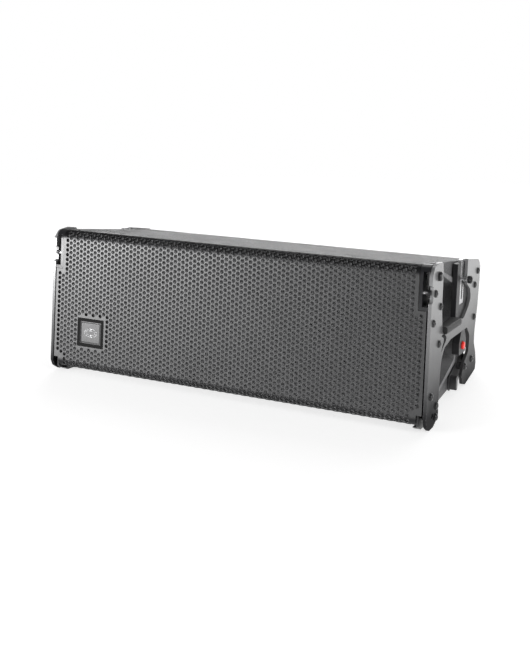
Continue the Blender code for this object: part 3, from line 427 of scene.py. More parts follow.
def joined(node):
    # a CAD node's loose triangles merged into whole faces
    bm = bmesh.new()
    bm.from_mesh(frame["nodes"][node].data)
    bmesh.ops.remove_doubles(bm, verts=bm.verts, dist=1e-5)
    bmesh.ops.dissolve_limit(bm, angle_limit=math.radians(0.6), verts=bm.verts, edges=bm.edges)
    bmesh.ops.dissolve_degenerate(bm, edges=bm.edges, dist=5e-5)
    return bm


def toMesh(bm, name="part"):
    mesh = bpy.data.meshes.new(name)
    bm.to_mesh(mesh)
    bm.free()
    return mesh


def refined(node, finish, width, segments=2):
    # the CAD node again, with rounded corners and its real finish
    mesh = softened(toMesh(joined(node)), width, segments)
    settle(node + "_finished", mesh, finish, node, [node])


def refinedAll(table):
    # a name that ends in an underscore stands for its left and its right node
    for node, looks in table.items():
        for name in [node + tag for tag in sides] if node.endswith("_") else [node]:
            refined(name, *looks)


def turned(profile, axis, centre, segments):
    # a closed profile of (radius, distance along the axis) spun round an axis through centre
    bm = bmesh.new()
    rings = []
    for radius, along in profile:
        ring = []
        for i in range(1 if radius == 0 else segments):
            angle = 2 * math.pi * i / segments
            a = radius * math.cos(angle)
            b = radius * math.sin(angle)
            spot = {"X": (along, a, b), "Y": (a, along, b), "Z": (a, b, along)}[axis]
            ring.append(bm.verts.new(Vector(spot) + Vector(centre)))
        rings.append(ring)
    for first, second in zip(rings, rings[1:] + rings[:1]):
        for i in range(segments):
            j = (i + 1) % segments
            corners = []
            for vert in (first[i % len(first)], first[j % len(first)],
                         second[j % len(second)], second[i % len(second)]):
                if vert not in corners:
                    corners.append(vert)
            if len(corners) > 2:
                bm.faces.new(corners)
    bmesh.ops.recalc_face_normals(bm, faces=bm.faces)
    return bm


def slab(low, high):
    bm = bmesh.new()
    bmesh.ops.create_cube(bm, size=1.0)
    size = Vector(high) - Vector(low)
    middle = (Vector(high) + Vector(low)) / 2
    bmesh.ops.transform(bm, matrix=Matrix.Translation(middle) @ Matrix.Diagonal((*size, 1)),
                        verts=bm.verts)
    return bm


def together(parts):
    whole = bmesh.new()
    for part in parts:
        mesh = toMesh(part)
        whole.from_mesh(mesh)
        bpy.data.meshes.remove(mesh)
    return whole


class Pattern(NodeMaker):
    # a Geometry Nodes tree under construction, with named inputs
    def __init__(self, name, inputs):
        NodeMaker.__init__(self, bpy.data.node_groups.new(name, "GeometryNodeTree"))
        interface = self.tree.interface
        interface.new_socket("Geometry", in_out="INPUT", socket_type="NodeSocketGeometry")
        interface.new_socket("Geometry", in_out="OUTPUT", socket_type="NodeSocketGeometry")
        self.keys = {}
        for label, kind in inputs.items():
            made = interface.new_socket(label, in_out="INPUT", socket_type="NodeSocket" + kind)
            self.keys[label] = made.identifier
        self.start = self.tree.nodes.new("NodeGroupInput")

    def given(self, label):
        return Wire(self, self.start.outputs[label])

    def close(self, geometry):
        real = self.node("GeometryNodeRealizeInstances", None, {0: geometry})
        dressed = self.node("GeometryNodeSetMaterial", None,
                            {"Geometry": real, "Material": self.given("Material")})
        end = self.tree.nodes.new("NodeGroupOutput")
        self.tree.links.new(dressed.socket, end.inputs[0])

    def grow(self, mesh, values):
        # the plain mesh that this tree makes from a mesh and its inputs' values
        def addNodes(carrier):
            nodes = carrier.modifiers.new("pattern", "NODES")
            nodes.node_group = self.tree
            for label, value in values.items():
                nodes[self.keys[label]] = value
        return evaluated(mesh, addNodes)


grilleSettings = {
    "holeRadius": 0.00365,
    "chamfer": 0.00040,
    "rowPitch": 0.0097,          # between the holes of one column
    "phase": (0.0085, 0.0235),   # one hole's centre, from the grille's middle
    "columns": 97,
    "rows": 35,
    "margin": 0.0036,            # plain steel left along every edge
    "lip": 0.0075,               # more plain steel under the rolled edges
    "thickness": 0.0015,
    "straight": 0.0063,          # flat lip after the roll
    "rollSteps": 10,
    "notch": (0.0155, 0.080),    # upper corner notches: width, and height below the top
    "notchRise": 0.0012,         # how much higher the sheet's own notches start
    "footNotch": (0.010, 0.0215),
    "window": 0.0033,            # the badge's window is this much larger than the badge
    "windowEdge": 0.0006,        # plain steel left round the window
    "gap": 0.0001,               # keeps the side returns off the sheet
    "joints": (-0.1255, 0.1265),  # where the mesh is parted so that no piece grows too heavy
}


def perforationPattern():
    tree = Pattern("perforated sheet", {
        "Hole radius": "Float", "Chamfer": "Float", "Row pitch": "Float", "Columns": "Int",
        "Rows": "Int", "Phase": "Vector", "Half width": "Float", "Half length": "Float",
        "Notch": "Vector", "Foot notch": "Vector", "Window": "Vector", "Window half": "Vector",
        "Margin": "Float", "Lip": "Float", "Material": "Material"})
    pitch = tree.given("Row pitch")
    radius = tree.given("Hole radius")
    column = pitch * math.sqrt(0.75)
    wide = column * (tree.given("Columns") - 1)
    tall = pitch * (tree.given("Rows") - 1)
    grid = tree.node("GeometryNodeMeshGrid", None, {
        "Size X": wide, "Size Y": tall, "Vertices X": tree.given("Columns"),
        "Vertices Y": tree.given("Rows")})
    spot = tree.node("GeometryNodeInputPosition")
    # every second column is moved up by half a pitch
    number = tree.node("ShaderNodeMath", {"operation": "ROUND"}, {0: spot.part("X") / column})
    odd = tree.node("ShaderNodeMath", {"operation": "PINGPONG"}, {0: number, 1: 1.0})
    lift = tree.node("ShaderNodeCombineXYZ", None, {"Y": odd * pitch * 0.5})
    shift = tree.node("ShaderNodeVectorMath", {"operation": "ADD"},
                      {0: lift, 1: tree.given("Phase")})
    points = tree.node("GeometryNodeSetPosition", None, {"Geometry": grid, "Offset": shift})
    # a hole is punched only where it keeps its margin
    reach = radius + tree.given("Margin")
    x = spot.part("X")
    y = spot.part("Y")
    side = x.absolute() + reach
    notch = tree.given("Notch")
    foot = tree.given("Foot notch")
    window = tree.given("Window")
    half = tree.given("Window half")
    end = y.absolute() + reach + tree.given("Lip")
    inside = (side < tree.given("Half width")) * (end < tree.given("Half length"))
    inNotch = (side > notch.part("X")) * (y + reach > notch.part("Y"))
    inFoot = (side > foot.part("X")) * (y - reach < foot.part("Y"))
    near = radius + grilleSettings["windowEdge"]
    inWindow = (((x - window.part("X")).absolute() < half.part("X") + near)
                * ((y - window.part("Y")).absolute() < half.part("Y") + near))
    punched = inside * (1 - inNotch) * (1 - inFoot) * (1 - inWindow)

    def hexagon(geometry, selection):
        here = tree.node("GeometryNodeInputPosition")
        angle = tree.node("ShaderNodeMath", {"operation": "ARCTAN2"},
                          {0: here.part("Y"), 1: here.part("X")})
        corner = tree.node("ShaderNodeMath", {"operation": "COSINE"}, {0: angle * 3.0}).absolute()
        outer = pitch * 0.5 + pitch * (1 / math.sqrt(3) - 0.5) * corner
        away = tree.node("ShaderNodeCombineXYZ", None, {
            "X": tree.node("ShaderNodeMath", {"operation": "COSINE"}, {0: angle}) * outer,
            "Y": tree.node("ShaderNodeMath", {"operation": "SINE"}, {0: angle}) * outer})
        inputs = {"Geometry": geometry, "Position": away}
        if selection:
            inputs["Selection"] = selection
        return tree.node("GeometryNodeSetPosition", None, inputs)

    rim = tree.node("GeometryNodeMeshCircle", {"fill_type": "NONE"},
                    {"Vertices": 12, "Radius": radius})
    sunk = tree.node("GeometryNodeSetPosition", None, {
        "Geometry": rim,
        "Offset": tree.node("ShaderNodeCombineXYZ", None, {"Z": tree.given("Chamfer") * -1.0})})
    first = tree.node("GeometryNodeExtrudeMesh", {"mode": "EDGES"},
                      {"Mesh": sunk, "Offset Scale": 0.0})
    top = Wire(tree, first.socket.node.outputs["Top"])
    here = tree.node("GeometryNodeInputPosition")
    scale = (radius + tree.given("Chamfer")) / radius
    lip = tree.node("ShaderNodeCombineXYZ", None, {"X": here.part("X") * scale,
                                                   "Y": here.part("Y") * scale})
    edge = tree.node("GeometryNodeSetPosition", None,
                     {"Geometry": first, "Selection": top, "Position": lip})
    second = tree.node("GeometryNodeExtrudeMesh", {"mode": "EDGES"},
                       {"Mesh": edge, "Selection": top, "Offset Scale": 0.0})
    holed = hexagon(second, Wire(tree, second.socket.node.outputs["Top"]))
    blank = hexagon(tree.node("GeometryNodeMeshCircle", {"fill_type": "NGON"},
                              {"Vertices": 12, "Radius": radius}), None)
    cells = []
    for cell, where in ((holed, punched), (blank, 1 - punched)):
        cells.append(tree.node("GeometryNodeInstanceOnPoints", None,
                               {"Points": points, "Instance": cell, "Selection": where}))
    both = tree.tree.nodes.new("GeometryNodeJoinGeometry")
    for cell in cells:
        tree.tree.links.new(cell.socket, both.inputs[0])
    tree.close(Wire(tree, both.outputs[0]))
    return tree


def rolledPlace(x, along, depth):
    # where a point of the unrolled sheet ends up once its top and bottom edges are rolled
    side = 1 if along > 0 else -1
    past = abs(along) - flatHalf
    quarter = rollRadius * math.pi / 2
    arm = rollRadius - depth
    if past <= 0:
        return Vector((x, depth, along))
    if past <= quarter:
        turn = past / rollRadius
        return Vector((x, rollRadius - arm * math.cos(turn),
                       side * (flatHalf + arm * math.sin(turn))))
    return Vector((x, rollRadius + past - quarter, side * (flatHalf + arm)))


def cutAway(bm, spot, normal, clear=True, within=None):
    faces = [f for f in bm.faces if within is None or within(f.calc_center_median())]
    parts = set(faces)
    for face in faces:
        parts.update(face.verts)
        parts.update(face.edges)
    bmesh.ops.bisect_plane(bm, geom=list(parts), plane_co=spot, plane_no=normal,
                           clear_outer=clear, dist=1e-7)


def makeGrille():
    g = grilleSettings
    half = grilleHigh.x
    top = flatHalf + rollRadius
    length = flatHalf + rollRadius * math.pi / 2 + g["straight"]
    notchX = half - g["notch"][0]
    notchZ = top - g["notch"][1] + g["notchRise"]
    footX = half - g["footNotch"][0]
    footZ = -top + g["footNotch"][1]
    badgeLow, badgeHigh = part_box("badge_plate")
    badge = (badgeLow + badgeHigh) / 2
    badgeHalf = (badgeHigh - badgeLow) / 2 + Vector((g["window"], 0, g["window"]))
    tree = perforationPattern()
    values = {
        "Hole radius": g["holeRadius"], "Chamfer": g["chamfer"], "Row pitch": g["rowPitch"],
        "Columns": g["columns"], "Rows": g["rows"], "Phase": (*g["phase"], 0.0),
        "Half width": half, "Half length": length, "Notch": (notchX, notchZ, 0.0),
        "Foot notch": (footX, footZ, 0.0), "Margin": g["margin"], "Lip": g["lip"],
        "Window": (badge.x, badge.z - midZ, 0.0), "Window half": (badgeHalf.x, badgeHalf.z, 0.0),
        "Material": finishes["grillePaint"]}
    sheet = tree.grow(bpy.data.meshes.new("seed"), values)
    bm = bmesh.new()
    bm.from_mesh(sheet)
    bmesh.ops.remove_doubles(bm, verts=bm.verts, dist=1e-5)
    for spot, normal in (((half, 0, 0), (1, 0, 0)), ((-half, 0, 0), (-1, 0, 0)),
                         ((0, length, 0), (0, 1, 0)), ((0, -length, 0), (0, -1, 0))):
        cutAway(bm, spot, normal)
    # split along the notches and the badge's window, then drop what lies inside them
    near = g["rowPitch"]
    cutAway(bm, (0, notchZ, 0), (0, 1, 0), False, lambda c: abs(c.x) > notchX - near)
    cutAway(bm, (0, footZ, 0), (0, 1, 0), False, lambda c: abs(c.x) > footX - near)
    for side in (-1, 1):
        cutAway(bm, (side * notchX, 0, 0), (1, 0, 0), False, lambda c: c.y > notchZ - near)
        cutAway(bm, (side * footX, 0, 0), (1, 0, 0), False, lambda c: c.y < footZ + near)
        cutAway(bm, (badge.x + side * badgeHalf.x, 0, 0), (1, 0, 0), False,
                lambda c: abs(c.y - badge.z + midZ) < badgeHalf.z + near)
        cutAway(bm, (0, badge.z - midZ + side * badgeHalf.z, 0), (0, 1, 0), False,
                lambda c: abs(c.x - badge.x) < badgeHalf.x + near)

    def dropped(c):
        if c.y > notchZ and abs(c.x) > notchX:
            return True
        if c.y < footZ and abs(c.x) > footX:
            return True
        return abs(c.x - badge.x) < badgeHalf.x and abs(c.y - badge.z + midZ) < badgeHalf.z

    bmesh.ops.delete(bm, geom=[f for f in bm.faces if dropped(f.calc_center_median())],
                     context="FACES")
    for i in range(g["rollSteps"] + 1):
        along = flatHalf + rollRadius * math.pi / 2 * i / g["rollSteps"]
        for side in (-1, 1):
            cutAway(bm, (0, side * along, 0), (0, 1, 0), False,
                    lambda c: abs(abs(c.y) - along) < near)
    for spot in g["joints"]:
        cutAway(bm, (spot, 0, 0), (1, 0, 0), False, lambda c: abs(c.x - spot) < near)
    whole = toMesh(bm)
    limits = [-1.0, *g["joints"], 1.0]
    for name, start, end in zip(("left", "middle", "right"), limits, limits[1:]):
        bm = bmesh.new()
        bm.from_mesh(whole)
        bmesh.ops.delete(bm, context="FACES", geom=[
            f for f in bm.faces if not start < f.calc_center_median().x < end])
        for face in bm.faces:
            face.normal_update()
            if face.normal.z < 0:
                face.normal_flip()
        made = bmesh.ops.extrude_face_region(bm, geom=list(bm.faces))
        back = [v for v in made["geom"] if isinstance(v, bmesh.types.BMVert)]
        for vert in back:
            vert.co.z = -g["thickness"]
        for vert in bm.verts:
            vert.co = rolledPlace(vert.co.x, vert.co.y, -vert.co.z)
            vert.co.y += faceY
            vert.co.z += midZ
        bmesh.ops.recalc_face_normals(bm, faces=bm.faces)
        mesh = toMesh(bm)
        smooth(mesh, 24)
        settle("grille_sheet_" + name, mesh, "grillePaint", "grille", ["grille"])
    bpy.data.meshes.remove(whole)
    # side returns that stiffen the sheet
    inner = g["thickness"] + g["gap"]
    lowEnd, highEnd = [midZ + rolledPlace(0, along, inner).z
                       for along in (footZ + g["gap"], notchZ - g["gap"])]
    returns = []
    for side in (-1, 1):
        start, end = sorted((side * (half - g["thickness"]), side * half))
        returns.append(slab((start, faceY + inner, lowEnd), (end, grilleHigh.y, highEnd)))
    settle("grille_returns", softened(toMesh(together(returns)), 0.0003), "grillePaint",
           "grille", ["grille"])


makeGrille()
print("grille made")


foamSettings = {"front": 0.0052, "closer": 0.0030, "depth": 0.0055, "lump": 0.0004,
                "waves": (410, 370), "squares": (124, 52), "edge": 0.004, "clear": 0.003}


def makeFoam():
    # one sheet of foam that follows the grille's inside round its rolled edges
    f = foamSettings
    half = grilleHigh.x - f["edge"]
    top = flatHalf + rollRadius
    length = flatHalf + rollRadius * math.pi / 2 + f["edge"]
    notchX, notchZ = [size - cut - f["clear"] for size, cut
                      in zip((grilleHigh.x, top), grilleSettings["notch"])]
    footX, footZ = [size - cut - f["clear"] for size, cut
                    in zip((grilleHigh.x, top), grilleSettings["footNotch"])]
    footZ = -footZ
    bm = bmesh.new()
    across, up = f["squares"]
    bmesh.ops.create_grid(bm, x_segments=across, y_segments=up, size=0.5)
    for vert in bm.verts:
        vert.co.x *= 2 * half
        vert.co.y *= 2 * length
    for side in (-1, 1):
        cutAway(bm, (side * notchX, 0, 0), (1, 0, 0), False)
        cutAway(bm, (side * footX, 0, 0), (1, 0, 0), False)
    cutAway(bm, (0, notchZ, 0), (0, 1, 0), False)
    cutAway(bm, (0, footZ, 0), (0, 1, 0), False)
    gone = []
    for face in bm.faces:
        c = face.calc_center_median()
        if (c.y > notchZ and abs(c.x) > notchX) or (c.y < footZ and abs(c.x) > footX):
            gone.append(face)
    bmesh.ops.delete(bm, geom=gone, context="FACES")
    made = bmesh.ops.extrude_face_region(bm, geom=list(bm.faces))
    for vert in made["geom"]:
        if isinstance(vert, bmesh.types.BMVert):
            vert.co.z = -f["depth"]
    for vert in bm.verts:
        wave = f["lump"]
        for place, turns in zip(vert.co.xy, f["waves"]):
            wave *= math.sin(place * turns)
        # the foam closes up to the sheet where that is rolled
        rolled = min(1.0, max(0.0, (abs(vert.co.y) - flatHalf) / rollRadius))
        depth = f["front"] - f["closer"] * rolled + wave - vert.co.z
        vert.co = rolledPlace(vert.co.x, vert.co.y, depth)
        vert.co.y += faceY
        vert.co.z += midZ
    bmesh.ops.recalc_face_normals(bm, faces=bm.faces)
    mesh = toMesh(bm)
    smooth(mesh, 50)
    settle("foam_sheet", mesh, "grilleFoam", "grille_foam", ["grille_foam"])


makeFoam()
print("foam made")


def tube(bm, loops):
    # faces between each closed loop of vertices and the next, round to the first
    for first, second in zip(loops, loops[1:] + loops[:1]):
        for i in range(len(first)):
            j = (i + 1) % len(first)
            bm.faces.new((first[i], first[j], second[j], second[i]))
    bmesh.ops.recalc_face_normals(bm, faces=bm.faces)


paintedShadowSettings = {"insets": (-0.0030, 0.0034), "gap": 0.0001}


def makeBadgePaintedShadow():
    # a black frame round the badge, a painted shadow for the shade of its recess, set just behind
    # the grille's front and over the badge's rim
    f = paintedShadowSettings
    low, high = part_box("badge_plate")
    rings = []
    for inset in f["insets"]:
        rings.append([(low.x + inset, low.z + inset), (high.x - inset, low.z + inset),
                      (high.x - inset, high.z - inset), (low.x + inset, high.z - inset)])
    bm = bmesh.new()
    front = faceY + f["gap"]
    back = low.y + f["gap"]
    loops = []
    for ring, depth in ((rings[0], front), (rings[0], back), (rings[1], back), (rings[1], front)):
        loops.append([bm.verts.new((x, depth, z)) for x, z in ring])
    tube(bm, loops)
    settle("badge_frame", softened(toMesh(bm), 0.0001, 1), "frameGum", "badge_plate")


markSettings = {"radius": (0.0150, 0.0085), "bands": ((0.0, 0.0011), (0.0034, 0.0044)),
                "raise": 0.0006, "base": 0.0011, "turns": 72}


def makeBadgeMark():
    # a plain oval band raised on the badge, with a thinner one inside it
    m = markSettings
    low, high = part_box("badge_plate")
    middle = (low + high) / 2
    wide, tall = m["radius"]
    back = low.y + m["base"]
    front = back - m["raise"]
    bm = bmesh.new()
    for outer, inner in m["bands"]:
        loops = []
        for inset, depth in ((outer, back), (outer, front), (inner, front), (inner, back)):
            loop = []
            for i in range(m["turns"]):
                angle = 2 * math.pi * i / m["turns"]
                loop.append(bm.verts.new((middle.x + (wide - inset) * math.cos(angle), depth,
                                          middle.z + (tall - inset) * math.sin(angle))))
            loops.append(loop)
        tube(bm, loops)
    mesh = toMesh(bm)
    smooth(mesh, 40)
    settle("badge_mark", mesh, "markMetal", "badge_plate")


refinedAll({
    "cabinet_shell": ("cabinetPaint", 0.0018, 3),
    "front_baffle": ("plywood", 0.0006),
    "badge_plate": ("badgePaint", 0.0005),
    "corner_block_": ("glossPlastic", 0.0014, 3),
    "cabinet_brace_": ("plywood", 0.0008),
})
makeBadgeMark()
makeBadgePaintedShadow()
print("cabinet made")


boltSettings = {"radius": 0.0068, "height": 0.0040, "socket": 0.0021, "segments": 24,
                "face": 0.395}   # the plates' outer face, where the heads stand


def openHeads(bm, side, outer):
    # takes the CAD bolt heads off a rigging plate and returns their places
    gone = [v for v in bm.verts if side * v.co.x > outer + 0.0002]
    bmesh.ops.delete(bm, geom=gone, context="VERTS")
    rims = [e for e in bm.edges if e.is_boundary]
    places = []
    while rims:
        loop = set(rims.pop().verts)
        grown = True
        while grown:
            grown = [e for e in rims if e.verts[0] in loop or e.verts[1] in loop]
            for edge in grown:
                loop.update(edge.verts)
                rims.remove(edge)
        points = [v.co for v in loop]
        places.append(sum(points, Vector()) / len(points))
    bmesh.ops.holes_fill(bm, edges=[e for e in bm.edges if e.is_boundary], sides=0)
    bmesh.ops.dissolve_limit(bm, angle_limit=math.radians(0.6), verts=bm.verts, edges=bm.edges)
    return places


def boltPattern():
    tree = Pattern("bolts", {"Bolt": "Object", "Material": "Material"})
    shape = tree.node("GeometryNodeObjectInfo", None, {"Object": tree.given("Bolt")}, "Geometry")
    placed = tree.node("GeometryNodeInstanceOnPoints", None, {
        "Points": Wire(tree, tree.start.outputs[0]), "Instance": shape})
    tree.close(placed)
    return tree


def boltHead(side, axis="X", shrink=1.0):
    # a low domed head with a round drive recess, standing on the plane through the origin
    b = boltSettings
    r = b["radius"] * shrink
    h = b["height"] * shrink
    profile = [(0.0, -0.0002), (r, -0.0002), (r, h * 0.22)]
    for i in range(1, 5):
        turn = math.pi / 2 * i / 5
        profile.append((r * 0.42 + r * 0.58 * math.cos(turn),
                        h * 0.22 + h * 0.78 * math.sin(turn)))
    drive = b["socket"] * shrink
    profile += [(drive * 1.12, h), (drive, h * 0.92), (drive, h * 0.45), (0.0, h * 0.40)]
    return turned([(radius, along * side) for radius, along in profile], axis, (0, 0, 0),
                  b["segments"])


bolts = boltPattern()


def spreadBolts(name, places, head, finish, like):
    # one plain mesh with a bolt head at each place
    pattern = toMesh(head)
    smooth(pattern, 40)
    model = bpy.data.objects.new("boltModel", pattern)
    seeds = bpy.data.meshes.new("places")
    seeds.from_pydata([tuple(place) for place in places], [], [])
    made = bolts.grow(seeds, {"Bolt": model, "Material": finishes[finish]})
    bpy.data.objects.remove(model, do_unlink=True)
    smooth(made, 40)
    settle(name, made, finish, like)


thumbSettings = {"height": -0.0252, "depth": 0.0072, "shaft": (0.3750, 0.3822, 0.0040),
                 "knob": (0.3822, 0.3918, 0.0048)}


def makeThumbPin(tag, side):
    # the front link's pull pin: a short bright shaft with a round black knob
    t = thumbSettings
    low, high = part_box("front_link_pin_" + tag)
    spot = (0, faceY + t["depth"], (low.z + high.z) / 2 + t["height"])
    start, end, radius = t["shaft"]
    shaft = turned([(0.0, side * start), (radius * 0.8, side * start),
                    (radius, side * (start + 0.0005)), (radius, side * end), (0.0, side * end)],
                   "X", spot, 28)
    mesh = toMesh(shaft)
    smooth(mesh, 35)
    settle("thumb_pin_shaft_" + tag, mesh, "brightSteel", "front_link_" + tag)
    start, end, radius = t["knob"]
    profile = [(0.0, side * start), (radius * 0.75, side * start),
               (radius, side * (start + 0.0012)), (radius, side * (end - 0.0022)),
               (radius * 0.8, side * (end - 0.0006)), (0.0, side * end)]
    mesh = toMesh(turned(profile, "X", spot, 32))
    smooth(mesh, 50)
    settle("thumb_pin_knob_" + tag, mesh, "glossPlastic", "front_link_" + tag)


knobSettings = {"radius": 0.0074, "length": 0.0078, "ribs": 18, "depth": 0.0006}


def makePinKnob(tag, side):
    # a ribbed black cap pushed over the pin's head
    k = knobSettings
    low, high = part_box("rear_link_pin_" + tag)
    centre = (low + high) / 2
    tip = high.x if side > 0 else low.x
    profile = [(0.0, 0.0), (k["radius"] * 0.72, 0.0), (k["radius"], -0.0014),
               (k["radius"], -k["length"] + 0.0006), (k["radius"] * 0.94, -k["length"]),
               (0.0, -k["length"])]
    segments = k["ribs"] * 4
    bm = turned([(radius, tip + side * along) for radius, along in profile], "X",
                (0, centre.y, centre.z), segments)
    for vert in bm.verts:
        off = Vector((0, vert.co.y - centre.y, vert.co.z - centre.z))
        if abs(off.length - k["radius"]) < 1e-5:
            angle = math.atan2(off.z, off.y)
            depth = k["depth"] * max(0.0, math.cos(angle * k["ribs"]))
            vert.co -= off.normalized() * depth
    bmesh.ops.recalc_face_normals(bm, faces=bm.faces)
    mesh = toMesh(bm)
    smooth(mesh, 35)
    settle("rear_pin_knob_" + tag, mesh, "blackPlastic", "rear_link_pin_" + tag)


for tag, side in sides.items():
    node = "rigging_plate_" + tag
    bm = joined(node)
    outer = boltSettings["face"]
    heads = openHeads(bm, side, outer)
    mesh = softened(toMesh(bm), 0.0008)
    settle(node + "_finished", mesh, "platePaint", node, [node])
    spots = [Vector((side * outer, p.y, p.z)) for p in heads]
    spreadBolts("rigging_bolts_" + tag, spots, boltHead(side), "blackSteel", node)
    makePinKnob(tag, side)
    makeThumbPin(tag, side)
refinedAll({
    "handle_cup_": ("cupPaint", 0.0010),
    "handle_grip_": ("gripRubber", 0.0012, 3),
    "front_link_": ("linkSteel", 0.0005),
    "rear_link_": ("brightSteel", 0.0006),
    "link_guide_": ("blackPlastic", 0.0006),
    "front_fork_": ("blackSteel", 0.0005),
    "rear_fork_": ("blackSteel", 0.0006),
    "lock_housing_": ("blackPlastic", 0.0012, 3),
    "front_link_pin_": ("blackSteel", 0.0004),
    "rear_link_pin_": ("brightSteel", 0.0004),
    "release_button_": ("redPlastic", 0.0005),
})
print("rigging made")


panelSettings = {"screws": (6, 3), "inset": 0.0055, "screwSize": 0.42, "flangeSize": 0.26,
                 "flange": 0.0113, "contact": (0.0011, 0.0105), "spread": 0.0036,
                 "seat": 0.0035}   # where the contacts start, behind a socket's back


def dressPanel():
    # screws round the panel and on the sockets' flanges, and contacts in the sockets
    p = panelSettings
    low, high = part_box("amp_panel")
    columns, rows = p["screws"]
    left, right = low.x + p["inset"], high.x - p["inset"]
    base, top = low.z + p["inset"], high.z - p["inset"]
    spots = []
    for i in range(columns):
        x = left + (right - left) * i / (columns - 1)
        spots += [Vector((x, high.y, base)), Vector((x, high.y, top))]
    for i in range(1, rows - 1):
        z = base + (top - base) * i / (rows - 1)
        spots += [Vector((left, high.y, z)), Vector((right, high.y, z))]
    # no screw where the heatsink stands
    finLow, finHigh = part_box("heatsink")
    room = boltSettings["radius"] * p["screwSize"]
    spots = [s for s in spots if not (finLow.x - room < s.x < finHigh.x + room
                                      and finLow.z - room < s.z < finHigh.z + room)]
    spreadBolts("panel_screws", spots, boltHead(1, "Y", p["screwSize"]), "brightSteel",
                "amp_panel")
    radius, length = p["contact"]
    screws = []
    contacts = []
    for name in ("mains_inlet", "mains_outlet", "signal_input", "signal_output"):
        low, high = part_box(name)
        middle = (low + high) / 2
        for corner in (45, 135, 225, 315):
            angle = math.radians(corner)
            screws.append(Vector((middle.x + p["flange"] * math.cos(angle), high.y,
                                  middle.z + p["flange"] * math.sin(angle))))
        for corner in (90, 210, 330):
            angle = math.radians(corner)
            spot = (middle.x + p["spread"] * math.cos(angle), low.y + p["seat"],
                    middle.z + p["spread"] * math.sin(angle))
            contacts.append(turned([(0.0, 0.0), (radius, 0.0), (radius, length - 0.0006),
                                    (radius * 0.5, length), (0.0, length)], "Y", spot, 16))
    spreadBolts("socket_screws", screws, boltHead(1, "Y", p["flangeSize"]), "brightSteel",
                "amp_panel")
    mesh = toMesh(together(contacts))
    smooth(mesh, 40)
    settle("socket_contacts", mesh, "brightSteel", "signal_input")


refinedAll({
    "woofer_basket_": ("castAluminium", 0.0006),
    "woofer_cone_": ("paperCone", 0.0004),
    "woofer_surround_": ("surroundRubber", 0.0003),
    "woofer_magnet_": ("magnetSteel", 0.0010, 3),
    "horn_waveguide": ("blackPlastic", 0.0010),
    "compression_driver_upper": ("magnetSteel", 0.0008),
    "compression_driver_lower": ("magnetSteel", 0.0008),
    "amp_panel": ("panelPaint", 0.0005),
    "heatsink": ("anodised", 0.0004),
    "display_window": ("displayGlass", 0.0004),
    "amp_board": ("circuitBoard", 0.0003),
    "power_transformer": ("copperWinding", 0.0010, 3),
})
for name in ("mains_inlet", "mains_outlet", "signal_input", "signal_output", "menu_knob",
             "power_switch"):
    refined(name, "blackPlastic", 0.0004)
dressPanel()
print("drivers and amplifier made")


stageSettings = {"radius": 3.2, "fade": (1.5, 3.0), "tilt": 5.44, "touch": (-0.139, 0.0),
                 "shade": 0.55, "glow": 0.66}


def makeFloor():
    # a pale floor under the front feet and the rear edge of the rigging plates
    made = Finish("floorPaper")
    grain = made.noise(900.0, 3.0)
    cloud = made.noise(1.3, 3.0)
    shade = stageSettings["shade"]
    pale = (shade, shade, shade)
    colour = made.blend(pale, tuple(v * 0.97 for v in pale),
                        made.spread(cloud + grain * 0.2, 0.3, 0.9))
    rough = made.spread(grain, 0.3, 0.7, 0.7, 0.85)
    away = made.node("ShaderNodeVectorMath", {"operation": "LENGTH"}, {0: made.place}, "Value")
    low, high = stageSettings["fade"]
    made.shader.inputs["Emission Strength"].default_value = stageSettings["glow"]
    made.shader.inputs["Emission Color"].default_value = (1, 1, 1, 1)
    made.use(Base_Color=colour, Roughness=rough, Normal=made.bump(grain, 0.1, 0.0002),
             Alpha=made.spread(away, low, high, 1.0, 0.0))
    bm = bmesh.new()
    bmesh.ops.create_circle(bm, cap_ends=True, segments=96, radius=stageSettings["radius"])
    tilt = Matrix.Rotation(math.radians(stageSettings["tilt"]), 4, "X")
    y, z = stageSettings["touch"]
    bmesh.ops.transform(bm, matrix=Matrix.Translation((0, y, z)) @ tilt, verts=bm.verts)
    floor = bpy.data.objects.new("studio_floor", toMesh(bm, "studio_floor"))
    floor.data.materials.append(made.material)
    bpy.context.scene.collection.objects.link(floor)


def makeLight(name, spot, target, size, power):
    lamp = bpy.data.lights.new(name, "AREA")
    lamp.shape = "RECTANGLE"
    lamp.size, lamp.size_y = size
    lamp.energy = power
    made = bpy.data.objects.new(name, lamp)
    made.location = spot
    made.rotation_euler = (Vector(target) - Vector(spot)).to_track_quat("-Z", "Y").to_euler()
    made.visible_camera = False
    bpy.context.scene.collection.objects.link(made)


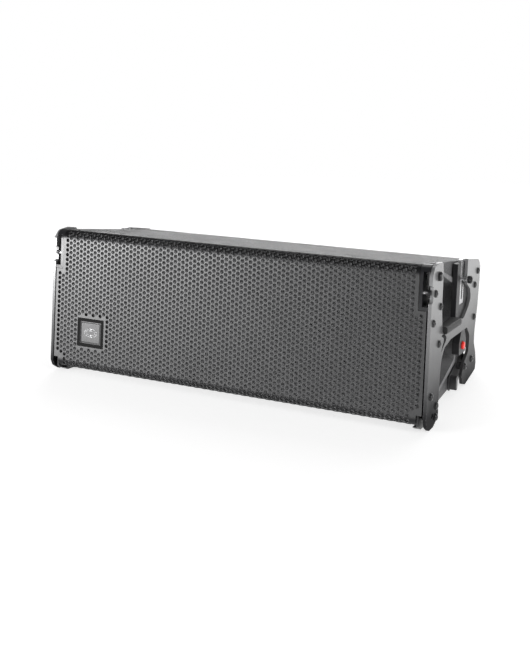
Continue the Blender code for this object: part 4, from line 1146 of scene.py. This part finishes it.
def makeWorld(strength, seen):
    world = bpy.data.worlds.new("studio")
    bpy.context.scene.world = world
    world.use_nodes = True
    maker = NodeMaker(world.node_tree)
    for old in list(world.node_tree.nodes):
        world.node_tree.nodes.remove(old)
    soft = maker.node("ShaderNodeBackground", None, {"Color": (1, 1, 1, 1), "Strength": strength})
    clean = maker.node("ShaderNodeBackground", None, {"Color": (1, 1, 1, 1), "Strength": seen})
    direct = maker.node("ShaderNodeLightPath", output="Is Camera Ray")
    both = maker.node("ShaderNodeMixShader", None, {0: direct, 1: soft, 2: clean})
    out = world.node_tree.nodes.new("ShaderNodeOutputWorld")
    world.node_tree.links.new(both.socket, out.inputs["Surface"])


cameraSettings = {
    "spot": (0.8085, -1.7923, 0.5089),
    "azimuth": 24.674,
    "elevation": 2.624,
    "roll": 2.396,
    "lens": 52.66,
    "shift": -0.2340,
}


def makeCamera():
    c = cameraSettings
    lens = bpy.data.cameras.new("camera")
    lens.lens = c["lens"]
    lens.sensor_width = 36.0
    lens.shift_y = c["shift"]
    lens.clip_end = 60.0
    camera = bpy.data.objects.new("camera", lens)
    azimuth = math.radians(c["azimuth"])
    elevation = math.radians(c["elevation"])
    back = Vector((math.sin(azimuth) * math.cos(elevation),
                   -math.cos(azimuth) * math.cos(elevation), math.sin(elevation)))
    aim = (-back).to_track_quat("-Z", "Y").to_matrix().to_4x4()
    camera.matrix_world = (Matrix.Translation(c["spot"]) @ aim
                           @ Matrix.Rotation(math.radians(c["roll"]), 4, "Z"))
    bpy.context.scene.collection.objects.link(camera)
    bpy.context.scene.camera = camera


makeFloor()
makeWorld(strength=0.17, seen=1.0)
makeLight("frontSoftbox", (-1.60, -1.75, 0.22), (-0.20, -0.19, 0.15), (1.5, 0.6), 64)
makeLight("topSoftbox", (0.0, 1.9, 3.0), (0.0, 0.2, 0.0), (4.0, 2.4), 40)
makeLight("backSoftbox", (-0.4, 3.0, 0.9), (0.0, 0.1, 0.2), (4.0, 1.2), 46)
makeLight("sideSoftbox", (2.3, -0.9, 0.9), (0.39, 0.05, 0.15), (0.9, 0.9), 26)
makeCamera()
print("stage made")
